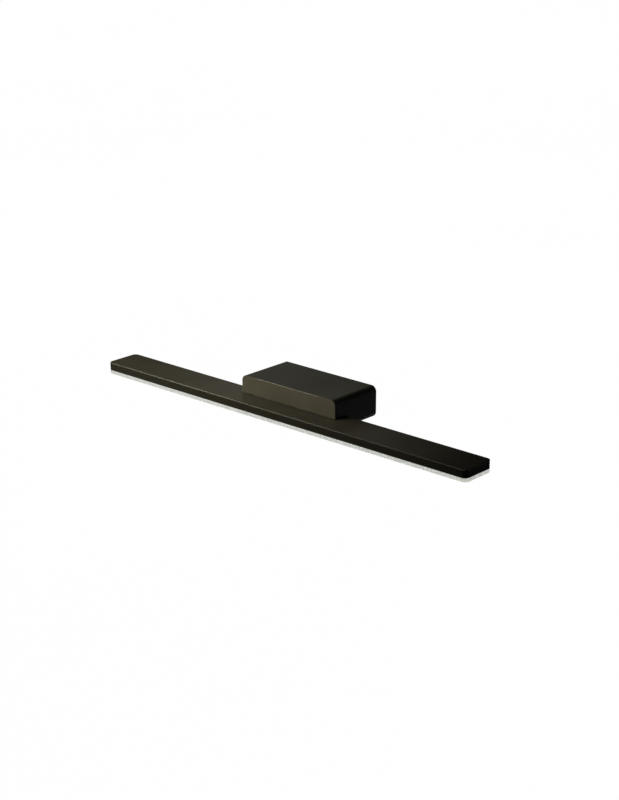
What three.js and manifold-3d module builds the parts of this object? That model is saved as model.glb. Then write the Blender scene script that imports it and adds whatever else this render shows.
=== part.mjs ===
// Vanity light bar: a wall-held LED luminaire. Millimetres, +Z up.
// The wall is the plane y = 0 and the room lies towards -Y. The light bar runs along X.
// The origin is the centre of the wall plate's back face, which is the canopy's centre too.

import * as THREE from 'three';
import { mergeVertices } from 'three/addons/utils/BufferGeometryUtils.js';
import Module from 'manifold-3d';

const wasm = await Module();
wasm.setup();

// ---- Driving dimensions ------------------------------------------------------------------

// Gap between pieces that touch, and round a screw in its own hole.
const GAP = 0.3;
const THREAD_GAP = 0.15;
const HOLE_GAP = 0.3;

// Light bar: an aluminium channel, open below, over an acrylic diffuser of the same outline.
const BAR_LENGTH = 600;
const BAR_DEPTH = 50;
const BAR_CORNER = 7;
const BAR_PROJECTION = 107;
const HOUSING_HEIGHT = 10.5;
const HOUSING_WEB = 2;
const HOUSING_WALL = 2.4;
const HOUSING_EDGE = 0.5;
const BOSS_HEIGHT = 3;
const BOSS_RADIUS = 4;
const BLIND_DEPTH = 4.2;

// Diffuser: the band below the housing, its floor, and the tongue that stands in the channel.
const DIFFUSER_HEIGHT = 4.5;
const DIFFUSER_FLOOR = 3;
const DIFFUSER_EDGE = 0.5;
const TONGUE_WALL = 1.4;
const TONGUE_HEIGHT = 2.3;
const SEAL_WIDTH = 1;
const SEAL_HEIGHT = 0.6;
const SEAL_INSET = 1;

// Light engine: a white sheet tray that carries two boards of small LEDs, facing down.
const TRAY_THICKNESS = 0.8;
const TRAY_SCREW_PLACES = [-0.44, -0.15, 0.15, 0.44];
const TRAY_SCREW_INSET = 7;
const BOARD_WIDTH = 24;
const BOARD_THICKNESS = 1;
const BOARD_END_MARGIN = 10;
const BOARD_SPLIT = 4;
const BOARD_RIVET_INSET = 6;
const LED_ROWS = 2;
const LED_ROW_PITCH = 12;
const LEDS_PER_ROW = 18;
const LED_SIZE = [3.5, 2.8, 0.7];
const LINK_SIZE = [13, 8, 1.6];
const LINK_GAP = 0.2;

// Canopy: a five-sided shell, open to the wall, stepped below its front half for the bar.
const CANOPY_WIDTH = 157;
const CANOPY_HEIGHT = 41;
const CANOPY_DEPTH = 78;
const CANOPY_CORNER = 7.5;
const CANOPY_WALL = 2;
const CANOPY_EDGE = 0.6;
const BAR_DROP = 24;
const GASKET_THICKNESS = 0.9;
const BAR_SCREW_PLACES = [-68, -24, 24, 68];
const DRIVER_BOSS_HEIGHT = 4;
const DRIVER_BOSS_RADIUS = 3.5;
const CANOPY_SCREW_X = 60;

// Wall plate: zinc-plated steel sheet with two tabs above and two tapped ears below.
const PLATE_THICKNESS = 1.5;
const PLATE_SIDE_GAP = 3.5;
const TAB_WIDTH = 30;
const TAB_DEPTH = 10;
const TAB_X = 45;
const EAR_WIDTH = 14;
const EAR_DEPTH = 14;
const SLOT_X = 54;
const SLOT_LENGTH = 16;
const SLOT_WIDTH = 5.2;
const CABLE_HOLE_RADIUS = 7;
const CABLE_HOLE_X = 24;
const GROMMET_BORE = 4.5;
const GROMMET_FLANGE = 2;
const GROMMET_FLANGE_THICKNESS = 1.5;

// Terminal block on the wall plate: three poles side by side.
const BLOCK_X = -24;
const POLES = 3;
const POLE_PITCH = 10;
const BLOCK_DEPTH = 14;
const BLOCK_HEIGHT = 16;
const BLOCK_EAR_LENGTH = 6;
const BLOCK_EAR_WIDTH = 7;
const BLOCK_EAR_THICKNESS = 3;
const BARREL_RADIUS = 2.8;
const BARREL_BORE = 1.7;
const BARREL_LENGTH = 14;
const POLE_SCREW_SPREAD = 4.5;
const EARTH_X = 6;
const EARTH_Z = -12;
const LUG_THICKNESS = 0.8;
const LUG_RADIUS = 4.2;
const LUG_NECK = 3;
const LUG_CRIMP_RADIUS = 1.9;
const LUG_CRIMP_LENGTH = 6;

// LED driver: a plastic case with its lid towards the wall, held by an ear at each end.
const DRIVER_LENGTH = 110;
const DRIVER_HEIGHT = 22;
const DRIVER_DEPTH = 27;
const DRIVER_WALL = 1.6;
const DRIVER_FLOOR_GAP = 1.5;
const DRIVER_EAR_LENGTH = 14;
const DRIVER_EAR_HEIGHT = 10;
const DRIVER_EAR_THICKNESS = 2;
const DRIVER_SCREW_Z = -8;
const LID_LIP = 2;
const PCB_THICKNESS = 1.6;
const PCB_STANDOFF = 2;
const TRANSFORMER_SIZE = [22, 14, 15];
const TRANSFORMER_X = 4;
const CORE_LEG = 3;
const CORE_YOKE = 2.5;
const BOBBIN_INSET = 0.5;
const CHOKE_RADIUS = 5;
const CHOKE_LENGTH = 11;
const CHOKE_X = -38;
const CHOKE_FLANGE = 1.5;
const CHOKE_WAIST = 1.1;
const INPUT_CAP_RADIUS = 5;
const INPUT_CAP_LENGTH = 17;
const INPUT_CAP_X = -20;
const OUTPUT_CAP_RADIUS = 4;
const OUTPUT_CAP_LENGTH = 14;
const OUTPUT_CAP_X = 30;
const CAN_GROOVE_Z = 1.6;
const CAN_GROOVE = 1.2;
const CAN_EDGE = 0.6;

// Leads and screws: diameters are nominal thread sizes, heads as radius and height.
const MAINS_LEAD_RADIUS = 1.2;
const LED_LEAD_RADIUS = 0.9;
const LED_LEAD_SPREAD = 1.6;
const BUSH_X = 44;
const BUSH_BORE = 3.2;
const BUSH_WALL = 1;
const BUSH_FLANGE = 2;
const BUSH_FLANGE_THICKNESS = 1.2;
const M3 = { radius: 1.5, head: 2.75, headHeight: 2 };
const M4 = { radius: 2, head: 3.75, headHeight: 2.4 };
const POLE_SCREW = { radius: 1.3, head: 1.7, headHeight: 1.2, length: 3.6 };
const POINT_WIDTH = 0.4;
const POINT_LENGTH = 0.6;
const SLOT_CUT = 0.5;
const RIVET = { radius: 1.4, head: 2.6, headHeight: 0.9, barb: 1.9, barbHeight: 1.8 };

// Round work: steps in a quarter turn of an outline, and sides of a screw or hole, a wound
// part or can, and a lead. No round corner is tighter than MIN_CORNER.
const CORNER_STEPS = 6;
const MIN_CORNER = 0.5;
const SIDES = 12;
const CAN_SIDES = 16;
const LEAD_SIDES = 8;
// How far a joined piece reaches into its neighbour, and a cutter beyond a face.
const OVERRUN = 1;

// ---- Places worked out from those ----------------------------------------------------------

const CANOPY_TOP_Z = CANOPY_HEIGHT / 2;
const CANOPY_BOTTOM_Z = -CANOPY_HEIGHT / 2;
const CANOPY_INSIDE_TOP_Z = CANOPY_TOP_Z - CANOPY_WALL;
const CANOPY_INSIDE_BOTTOM_Z = CANOPY_BOTTOM_Z + CANOPY_WALL;
const CANOPY_INSIDE_WIDTH = CANOPY_WIDTH - 2 * CANOPY_WALL;
const CANOPY_RIM_Y = -GASKET_THICKNESS - GAP;
const BAR_TOP_Z = CANOPY_TOP_Z - BAR_DROP;
const BAR_CENTRE_Y = -BAR_PROJECTION + BAR_DEPTH / 2;
const BAR_REAR_Y = BAR_CENTRE_Y + BAR_DEPTH / 2;
const STEP_Y = BAR_REAR_Y + GAP;
const STEP_INSIDE_Y = STEP_Y + CANOPY_WALL;
const LEDGE_Z = BAR_TOP_Z + GAP;
const LEDGE_INSIDE_Z = LEDGE_Z + CANOPY_WALL;
const BAR_SCREW_Y = (BAR_REAR_Y - HOUSING_WALL - CANOPY_DEPTH + CANOPY_WALL) / 2;
const PLATE_TOP_Z = CANOPY_INSIDE_TOP_Z - GAP;
const PLATE_BOTTOM_Z = CANOPY_INSIDE_BOTTOM_Z + GAP;
const EAR_SCREW_Y = -EAR_DEPTH / 2 - PLATE_THICKNESS / 2;

// Heights in the bar's own group, whose zero is the housing's top face.
const TRAY_TOP_Z = -HOUSING_WEB - BOSS_HEIGHT - GAP;
const TRAY_BOTTOM_Z = TRAY_TOP_Z - TRAY_THICKNESS;
const BOARD_TOP_Z = TRAY_BOTTOM_Z - GAP;
const BOARD_BOTTOM_Z = BOARD_TOP_Z - BOARD_THICKNESS;
const SHOULDER_Z = -HOUSING_HEIGHT - GAP;
const DIFFUSER_BOTTOM_Z = SHOULDER_Z - DIFFUSER_HEIGHT;
const TONGUE_INSET = HOUSING_WALL + GAP;
const TRAY_INSET = HOUSING_WALL + GAP;
const BOARD_LENGTH = BAR_LENGTH / 2 - BOARD_END_MARGIN - BOARD_SPLIT / 2;

// ---- Solids: three.js geometry, cut and joined ---------------------------------------------

function solid(geometry) {
  const bare = geometry.clone();
  bare.deleteAttribute('normal');
  bare.deleteAttribute('uv');
  const merged = mergeVertices(bare, 1e-4);
  const vertProperties = new Float32Array(merged.attributes.position.array);
  const triVerts = new Uint32Array(merged.index.array);
  return new wasm.Manifold(new wasm.Mesh({ numProp: 3, vertProperties, triVerts }));
}

function geometryOf(manifold) {
  const mesh = manifold.getMesh();
  const geometry = new THREE.BufferGeometry();
  geometry.setAttribute('position', new THREE.BufferAttribute(new Float32Array(mesh.vertProperties), 3));
  geometry.setIndex(new THREE.BufferAttribute(new Uint32Array(mesh.triVerts), 1));
  geometry.computeVertexNormals();
  return geometry;
}

// A box between two corners.
function block([x0, y0, z0], [x1, y1, z1]) {
  const geometry = new THREE.BoxGeometry(x1 - x0, y1 - y0, z1 - z0);
  return solid(geometry.translate((x0 + x1) / 2, (y0 + y1) / 2, (z0 + z1) / 2));
}

// A rod from one point to another along the named axis.
function rod(axis, radius, [x, y, z], length, sides = SIDES) {
  const geometry = new THREE.CylinderGeometry(radius, radius, length, sides);
  if (axis === 'x') geometry.rotateZ(Math.PI / 2).translate(length / 2, 0, 0);
  if (axis === 'y') geometry.translate(0, length / 2, 0);
  if (axis === 'z') geometry.rotateX(Math.PI / 2).translate(0, 0, length / 2);
  return solid(geometry.translate(x, y, z));
}

// A body of revolution about Z, from a closed profile of [radius, height] pairs.
function turned(profile, sides = SIDES) {
  const points = profile.map(([radius, height]) => new THREE.Vector2(radius, height));
  return solid(new THREE.LatheGeometry(points, sides).rotateX(Math.PI / 2));
}

// A rectangle with round corners, centred, drawn anticlockwise.
function roundedOutline(width, height, radius) {
  const x = width / 2;
  const y = height / 2;
  const shape = new THREE.Shape();
  shape.absarc(x - radius, radius - y, radius, -Math.PI / 2, 0);
  shape.absarc(x - radius, y - radius, radius, 0, Math.PI / 2);
  shape.absarc(radius - x, y - radius, radius, Math.PI / 2, Math.PI);
  shape.absarc(radius - x, radius - y, radius, Math.PI, 1.5 * Math.PI);
  return shape;
}

// A slab of that outline. Its two end edges are cut back by edge.
function slab(width, height, radius, thickness, edge = 0) {
  const geometry = new THREE.ExtrudeGeometry(roundedOutline(width, height, radius), {
    depth: thickness - 2 * edge,
    curveSegments: CORNER_STEPS / 2,
    bevelEnabled: edge > 0,
    bevelThickness: edge,
    bevelSize: edge,
    bevelOffset: -edge,
    bevelSegments: 1,
  });
  return solid(geometry.translate(0, 0, edge));
}

// The bar's outline, moved in by inset, standing between two heights of the bar's group.
function barSlab(inset, bottom, top, edge = 0) {
  const radius = Math.max(BAR_CORNER - inset, MIN_CORNER);
  const body = slab(BAR_LENGTH - 2 * inset, BAR_DEPTH - 2 * inset, radius, top - bottom, edge);
  return body.translate([0, 0, bottom]);
}

// The canopy's outline, moved in by inset, reaching from a plane near the wall into the room.
function canopySlab(inset, rear, front, edge = 0) {
  const radius = Math.max(CANOPY_CORNER - inset, MIN_CORNER);
  const body = slab(CANOPY_WIDTH - 2 * inset, CANOPY_HEIGHT - 2 * inset, radius, rear - front, edge);
  return body.rotate([90, 0, 0]).translate([0, rear, 0]);
}

// A round lead through a list of points.
function lead(points, radius) {
  const section = new THREE.Shape();
  section.absarc(0, 0, radius, 0, 2 * Math.PI);
  const path = new THREE.CatmullRomCurve3(points.map((p) => new THREE.Vector3(...p)), false, 'centripetal');
  const steps = Math.ceil(path.getLength() / (4 * radius));
  const options = { steps, curveSegments: LEAD_SIDES / 2, bevelEnabled: false, extrudePath: path };
  return solid(new THREE.ExtrudeGeometry(section, options));
}

// ---- Fasteners: each points down its own -Z, with its head above ---------------------------

function crossRecess(head, top, depth) {
  const reach = 0.62 * head;
  const wing = 0.18 * head;
  const along = block([-reach, -wing, top - depth], [reach, wing, top + OVERRUN]);
  return along.add(block([-wing, -reach, top - depth], [wing, reach, top + OVERRUN]));
}

function panScrew({ radius, head, headHeight }, length) {
  const crown = 0.55 * headHeight;
  const body = turned([
    [0, -length], [radius - POINT_WIDTH, -length], [radius, POINT_LENGTH - length], [radius, 0],
    [head, 0], [head, crown], [0.72 * head, headHeight], [0, headHeight],
  ]);
  return body.subtract(crossRecess(head, headHeight, 0.6 * headHeight));
}

function flushScrew({ radius, head }, length) {
  const cone = head - radius;
  const body = turned([
    [0, -length], [radius - POINT_WIDTH, -length], [radius, POINT_LENGTH - length], [radius, -cone],
    [head, 0], [0, 0],
  ]);
  return body.subtract(crossRecess(head, 0, 0.7 * cone));
}

function slottedScrew({ radius, head, headHeight, length }) {
  const body = turned([
    [0, -length], [radius, -length], [radius, 0], [head, 0], [head, headHeight], [0, headHeight],
  ]);
  const low = [-head - OVERRUN, -SLOT_CUT / 2, headHeight / 2];
  return body.subtract(block(low, [head + OVERRUN, SLOT_CUT / 2, headHeight + OVERRUN]));
}

// ---- Light bar ----------------------------------------------------------------------------

// Both screw patterns of the bar, in its own group.
function trayScrewPlaces() {
  const y = BAR_DEPTH / 2 - TRAY_SCREW_INSET;
  return TRAY_SCREW_PLACES.map((share, i) => [share * BAR_LENGTH, i % 2 === 0 ? y : -y]);
}

function barScrewPlaces() {
  return BAR_SCREW_PLACES.map((x) => [x, BAR_SCREW_Y - BAR_CENTRE_Y]);
}

const LEAD_HOLE = BUSH_BORE + HOLE_GAP;
const LEAD_HOLE_Y = BAR_SCREW_Y - BAR_CENTRE_Y;

function barHousing() {
  const outside = barSlab(0, -HOUSING_HEIGHT - OVERRUN, 0, HOUSING_EDGE);
  const below = block(
    [-BAR_LENGTH, -BAR_DEPTH, -HOUSING_HEIGHT - 2 * OVERRUN],
    [BAR_LENGTH, BAR_DEPTH, -HOUSING_HEIGHT],
  );
  let body = outside.subtract(below);
  body = body.subtract(barSlab(HOUSING_WALL, -HOUSING_HEIGHT - OVERRUN, -HOUSING_WEB));
  const bossBottom = -HOUSING_WEB - BOSS_HEIGHT;
  for (const [x, y] of [...trayScrewPlaces(), ...barScrewPlaces()]) {
    body = body.add(rod('z', BOSS_RADIUS, [x, y, bossBottom], BOSS_HEIGHT + OVERRUN));
  }
  for (const [x, y] of trayScrewPlaces()) {
    const tapped = M3.radius + THREAD_GAP;
    body = body.subtract(rod('z', tapped, [x, y, bossBottom - OVERRUN], BLIND_DEPTH + OVERRUN));
  }
  for (const [x, y] of barScrewPlaces()) {
    const tapped = M4.radius + THREAD_GAP;
    body = body.subtract(rod('z', tapped, [x, y, -BLIND_DEPTH], BLIND_DEPTH + OVERRUN));
  }
  const leadHole = [BUSH_X, LEAD_HOLE_Y, -HOUSING_WEB - OVERRUN];
  return body.subtract(rod('z', LEAD_HOLE, leadHole, 2 * OVERRUN + HOUSING_WEB));
}

function ledTray() {
  let body = barSlab(TRAY_INSET, TRAY_BOTTOM_Z, TRAY_TOP_Z);
  const depth = TRAY_THICKNESS + 2 * OVERRUN;
  const through = (radius, x, y) => rod('z', radius, [x, y, TRAY_BOTTOM_Z - OVERRUN], depth);
  for (const [x, y] of trayScrewPlaces()) body = body.subtract(through(M3.radius + HOLE_GAP, x, y));
  for (const x of rivetPlaces()) body = body.subtract(through(RIVET.radius + HOLE_GAP, x, 0));
  return body.subtract(through(LEAD_HOLE, BUSH_X, LEAD_HOLE_Y));
}

// The rivets that hold the boards, two to a board.
function rivetPlaces() {
  const near = BOARD_SPLIT / 2 + LINK_SIZE[0];
  const far = BOARD_SPLIT / 2 + BOARD_LENGTH - BOARD_RIVET_INSET;
  return [-far, -near, near, far];
}

// One board, drawn on the +X side; side is -1 for its mirror copy.
function ledBoard(side) {
  const start = BOARD_SPLIT / 2;
  const end = start + BOARD_LENGTH;
  const ends = [side * start, side * end].sort((a, b) => a - b);
  const half = BOARD_WIDTH / 2;
  let board = block([ends[0], -half, BOARD_BOTTOM_Z], [ends[1], half, BOARD_TOP_Z]);
  const [ledX, ledY, ledZ] = LED_SIZE;
  const pitch = BOARD_LENGTH / LEDS_PER_ROW;
  for (let row = 0; row < LED_ROWS; row += 1) {
    const y = (row - (LED_ROWS - 1) / 2) * LED_ROW_PITCH;
    for (let i = 0; i < LEDS_PER_ROW; i += 1) {
      const x = side * (start + (i + 0.5) * pitch);
      const low = [x - ledX / 2, y - ledY / 2, BOARD_BOTTOM_Z - ledZ];
      board = board.add(block(low, [x + ledX / 2, y + ledY / 2, BOARD_BOTTOM_Z + BOARD_THICKNESS / 2]));
    }
  }
  for (const x of rivetPlaces().filter((place) => Math.sign(place) === side)) {
    const hole = RIVET.radius + HOLE_GAP;
    board = board.subtract(rod('z', hole, [x, 0, BOARD_BOTTOM_Z - OVERRUN], BOARD_THICKNESS + 2 * OVERRUN));
  }
  return board;
}

function boardLink() {
  const [x, y, z] = LINK_SIZE;
  const top = BOARD_BOTTOM_Z - LINK_GAP;
  return block([-x / 2, -y / 2, top - z], [x / 2, y / 2, top]);
}

// A push rivet, head down: its barb opens above the tray.
function boardRivet() {
  const grip = BOARD_THICKNESS + TRAY_THICKNESS + 3 * GAP;
  return turned([
    [0, -RIVET.headHeight], [RIVET.head, -RIVET.headHeight], [RIVET.head, 0], [RIVET.radius, 0],
    [RIVET.radius, grip], [RIVET.barb, grip], [0.5 * RIVET.radius, grip + RIVET.barbHeight],
    [0, grip + RIVET.barbHeight],
  ]);
}

function diffuser() {
  const tongueTop = SHOULDER_Z + TONGUE_HEIGHT;
  const band = barSlab(0, DIFFUSER_BOTTOM_Z, SHOULDER_Z + OVERRUN, DIFFUSER_EDGE);
  const above = block(
    [-BAR_LENGTH, -BAR_DEPTH, SHOULDER_Z],
    [BAR_LENGTH, BAR_DEPTH, SHOULDER_Z + 2 * OVERRUN],
  );
  const tongue = barSlab(TONGUE_INSET, SHOULDER_Z - OVERRUN, tongueTop);
  const hollow = barSlab(TONGUE_INSET + TONGUE_WALL, DIFFUSER_BOTTOM_Z + DIFFUSER_FLOOR, tongueTop + OVERRUN);
  const groove = barRing(
    SEAL_INSET - GAP, SEAL_INSET + SEAL_WIDTH + GAP,
    SHOULDER_Z - SEAL_HEIGHT - GAP, SHOULDER_Z + OVERRUN,
  );
  return band.subtract(above).subtract(groove).add(tongue).subtract(hollow);
}

function barRing(outerInset, innerInset, bottom, top) {
  const hole = barSlab(innerInset, bottom - OVERRUN, top + OVERRUN);
  return barSlab(outerInset, bottom, top).subtract(hole);
}

function diffuserSeal() {
  return barRing(SEAL_INSET, SEAL_INSET + SEAL_WIDTH, SHOULDER_Z - SEAL_HEIGHT, SHOULDER_Z);
}

// ---- Canopy -------------------------------------------------------------------------------

// The stepped room that the bar needs, grown by inset for the inside of the shell.
function barStep(inset) {
  const far = CANOPY_WIDTH + CANOPY_DEPTH;
  return block([-far, -far, -far], [far, STEP_Y + inset, LEDGE_Z + inset]);
}

function driverScrewX() {
  return DRIVER_LENGTH / 2 + DRIVER_EAR_LENGTH / 2 + GAP;
}

function canopyCover() {
  const rear = block(
    [-CANOPY_WIDTH, CANOPY_RIM_Y, -CANOPY_HEIGHT],
    [CANOPY_WIDTH, CANOPY_RIM_Y + 2 * OVERRUN, CANOPY_HEIGHT],
  );
  const outside = canopySlab(0, CANOPY_RIM_Y + OVERRUN, -CANOPY_DEPTH, CANOPY_EDGE);
  const inside = canopySlab(CANOPY_WALL, CANOPY_RIM_Y + OVERRUN, CANOPY_WALL - CANOPY_DEPTH);
  let body = outside.subtract(rear).subtract(barStep(0));
  body = body.subtract(inside.subtract(barStep(CANOPY_WALL)));
  for (const side of [-1, 1]) {
    const x = side * driverScrewX();
    const foot = [x, STEP_INSIDE_Y - OVERRUN, DRIVER_SCREW_Z];
    body = body.add(rod('y', DRIVER_BOSS_RADIUS, foot, DRIVER_BOSS_HEIGHT + OVERRUN));
    const bottom = [x, STEP_INSIDE_Y + DRIVER_BOSS_HEIGHT - BLIND_DEPTH, DRIVER_SCREW_Z];
    body = body.subtract(rod('y', M3.radius + THREAD_GAP, bottom, BLIND_DEPTH + OVERRUN));
    body = body.subtract(countersink(side * CANOPY_SCREW_X));
  }
  const depth = CANOPY_WALL + 2 * OVERRUN;
  const ledgeHole = (radius, x) => rod('z', radius, [x, BAR_SCREW_Y, LEDGE_Z - OVERRUN], depth);
  for (const x of BAR_SCREW_PLACES) body = body.subtract(ledgeHole(M4.radius + HOLE_GAP, x));
  return body.subtract(ledgeHole(BUSH_BORE + BUSH_WALL + GAP, BUSH_X));
}

// The countersunk hole under the canopy for a retaining screw.
function countersink(x) {
  const shank = M4.radius + HOLE_GAP;
  const mouth = M4.head + GAP;
  const cone = turned([
    [0, -OVERRUN], [mouth, -OVERRUN], [mouth, 0], [shank, mouth - shank],
    [shank, CANOPY_WALL + OVERRUN], [0, CANOPY_WALL + OVERRUN],
  ]);
  return cone.translate([x, EAR_SCREW_Y, CANOPY_BOTTOM_Z]);
}

function wallGasket() {
  const hole = canopySlab(CANOPY_WALL, OVERRUN, -GASKET_THICKNESS - OVERRUN);
  return canopySlab(0, 0, -GASKET_THICKNESS).subtract(hole);
}

// The bush in the canopy's ledge; it hangs from its flange, with its foot flush below.
function leadBush() {
  const neck = BUSH_BORE + BUSH_WALL;
  const flange = neck + BUSH_FLANGE;
  const flangeZ = LEDGE_INSIDE_Z + GAP;
  return turned([
    [BUSH_BORE, LEDGE_Z], [neck, LEDGE_Z], [neck, flangeZ], [flange, flangeZ],
    [flange, flangeZ + BUSH_FLANGE_THICKNESS], [BUSH_BORE, flangeZ + BUSH_FLANGE_THICKNESS],
    [BUSH_BORE, LEDGE_Z],
  ]);
}

// ---- Wall plate and its terminals ---------------------------------------------------------

function wallPlate() {
  const width = CANOPY_INSIDE_WIDTH - 2 * PLATE_SIDE_GAP;
  const height = PLATE_TOP_Z - PLATE_BOTTOM_Z;
  const corner = Math.max(CANOPY_CORNER - CANOPY_WALL, MIN_CORNER);
  let body = slab(width, height, corner, PLATE_THICKNESS).rotate([90, 0, 0]);
  for (const side of [-1, 1]) {
    const tab = side * TAB_X;
    const ear = side * CANOPY_SCREW_X;
    body = body.add(block(
      [tab - TAB_WIDTH / 2, -TAB_DEPTH, PLATE_TOP_Z - PLATE_THICKNESS],
      [tab + TAB_WIDTH / 2, -PLATE_THICKNESS / 2, PLATE_TOP_Z],
    ));
    body = body.add(block(
      [ear - EAR_WIDTH / 2, -EAR_DEPTH, PLATE_BOTTOM_Z],
      [ear + EAR_WIDTH / 2, -PLATE_THICKNESS / 2, PLATE_BOTTOM_Z + PLATE_THICKNESS],
    ));
    const earHole = [ear, EAR_SCREW_Y, PLATE_BOTTOM_Z - OVERRUN];
    body = body.subtract(rod('z', M4.radius + THREAD_GAP, earHole, PLATE_THICKNESS + 2 * OVERRUN));
    body = body.subtract(wallSlot(side * SLOT_X));
    const blockHole = BLOCK_X + side * blockScrewOffset();
    body = body.subtract(plateHole(M3.radius + THREAD_GAP, blockHole, 0));
  }
  body = body.subtract(plateHole(M4.radius + THREAD_GAP, EARTH_X, EARTH_Z));
  return body.subtract(plateHole(CABLE_HOLE_RADIUS, CABLE_HOLE_X, 0));
}

function plateHole(radius, x, z) {
  return rod('y', radius, [x, -PLATE_THICKNESS - OVERRUN, z], PLATE_THICKNESS + 2 * OVERRUN);
}

function wallSlot(x) {
  const run = (SLOT_LENGTH - SLOT_WIDTH) / 2;
  const middle = block(
    [x - run, -PLATE_THICKNESS - OVERRUN, -SLOT_WIDTH / 2],
    [x + run, OVERRUN, SLOT_WIDTH / 2],
  );
  return middle.add(plateHole(SLOT_WIDTH / 2, x - run, 0)).add(plateHole(SLOT_WIDTH / 2, x + run, 0));
}

// A grommet with its flange on the room side and its foot flush with the wall.
function cableGrommet() {
  const neck = CABLE_HOLE_RADIUS - GAP;
  const flange = CABLE_HOLE_RADIUS + GROMMET_FLANGE;
  const flangeZ = PLATE_THICKNESS + GAP;
  return turned([
    [GROMMET_BORE, 0], [neck, 0], [neck, flangeZ], [flange, flangeZ],
    [flange, flangeZ + GROMMET_FLANGE_THICKNESS], [GROMMET_BORE, flangeZ + GROMMET_FLANGE_THICKNESS],
    [GROMMET_BORE, 0],
  ]);
}

function blockScrewOffset() {
  return POLES * POLE_PITCH / 2 + BLOCK_EAR_LENGTH / 2;
}

function poleX(pole) {
  return (pole - (POLES - 1) / 2) * POLE_PITCH;
}

// The block in its own group: its back is y = 0 and it stands out towards -Y.
function terminalBlock() {
  const half = POLES * POLE_PITCH / 2;
  const ear = half + BLOCK_EAR_LENGTH;
  const earHalf = BLOCK_EAR_WIDTH / 2;
  let body = block([-half, -BLOCK_DEPTH, -BLOCK_HEIGHT / 2], [half, 0, BLOCK_HEIGHT / 2]);
  body = body.add(block([-ear, -BLOCK_EAR_THICKNESS, -earHalf], [ear, 0, earHalf]));
  for (let pole = 0; pole < POLES; pole += 1) {
    const x = poleX(pole);
    const start = [x, -BLOCK_DEPTH / 2, -BLOCK_HEIGHT / 2 - OVERRUN];
    body = body.subtract(rod('z', BARREL_RADIUS + GAP, start, BLOCK_HEIGHT + 2 * OVERRUN));
    for (const side of [-1, 1]) {
      const mouth = [x, -BLOCK_DEPTH - OVERRUN, side * POLE_SCREW_SPREAD];
      body = body.subtract(rod('y', POLE_SCREW.head + GAP, mouth, BLOCK_DEPTH / 2));
    }
  }
  for (const side of [-1, 1]) {
    const hole = [side * blockScrewOffset(), -BLOCK_EAR_THICKNESS - OVERRUN, 0];
    body = body.subtract(rod('y', M3.radius + HOLE_GAP, hole, BLOCK_EAR_THICKNESS + 2 * OVERRUN));
  }
  return body;
}

// A brass barrel on its own axis, with a clamping hole for each wire.
function terminalBarrel() {
  let body = rod('z', BARREL_RADIUS, [0, 0, -BARREL_LENGTH / 2], BARREL_LENGTH);
  const foot = [0, 0, -BARREL_LENGTH / 2 - OVERRUN];
  body = body.subtract(rod('z', BARREL_BORE, foot, BARREL_LENGTH + 2 * OVERRUN));
  for (const side of [-1, 1]) {
    const start = [0, -BARREL_RADIUS - OVERRUN, side * POLE_SCREW_SPREAD];
    body = body.subtract(rod('y', POLE_SCREW.radius + THREAD_GAP, start, BARREL_RADIUS + OVERRUN));
  }
  return body;
}

// A ring lug lying on the plate, with a crimp towards -X for the lead.
function earthLug() {
  const crimpStart = -LUG_RADIUS - LUG_CRIMP_LENGTH + OVERRUN;
  const crimpY = -LUG_CRIMP_RADIUS;
  let body = rod('y', LUG_RADIUS, [0, -LUG_THICKNESS, 0], LUG_THICKNESS);
  body = body.add(block([crimpStart + OVERRUN, -LUG_THICKNESS, -LUG_NECK / 2], [0, 0, LUG_NECK / 2]));
  body = body.add(rod('x', LUG_CRIMP_RADIUS, [crimpStart, crimpY, 0], LUG_CRIMP_LENGTH - OVERRUN));
  const hole = [0, -LUG_THICKNESS - OVERRUN, 0];
  body = body.subtract(rod('y', M4.radius + HOLE_GAP, hole, LUG_THICKNESS + 2 * OVERRUN));
  const bore = MAINS_LEAD_RADIUS + HOLE_GAP;
  return body.subtract(rod('x', bore, [crimpStart - OVERRUN, crimpY, 0], LUG_CRIMP_LENGTH));
}

// ---- LED driver, in its own group: the case's front is y = 0, its bottom is z = 0 ------------

const PCB_FRONT_Y = DRIVER_WALL + PCB_STANDOFF;
const PCB_BACK_Y = PCB_FRONT_Y + PCB_THICKNESS;
const DRIVER_LEAD_HOLES = [
  { side: -1, z: 7 }, { side: -1, z: 13 }, { side: 1, z: 15 }, { side: 1, z: 10 },
];
const DRIVER_LEAD_Y = 15;

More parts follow.
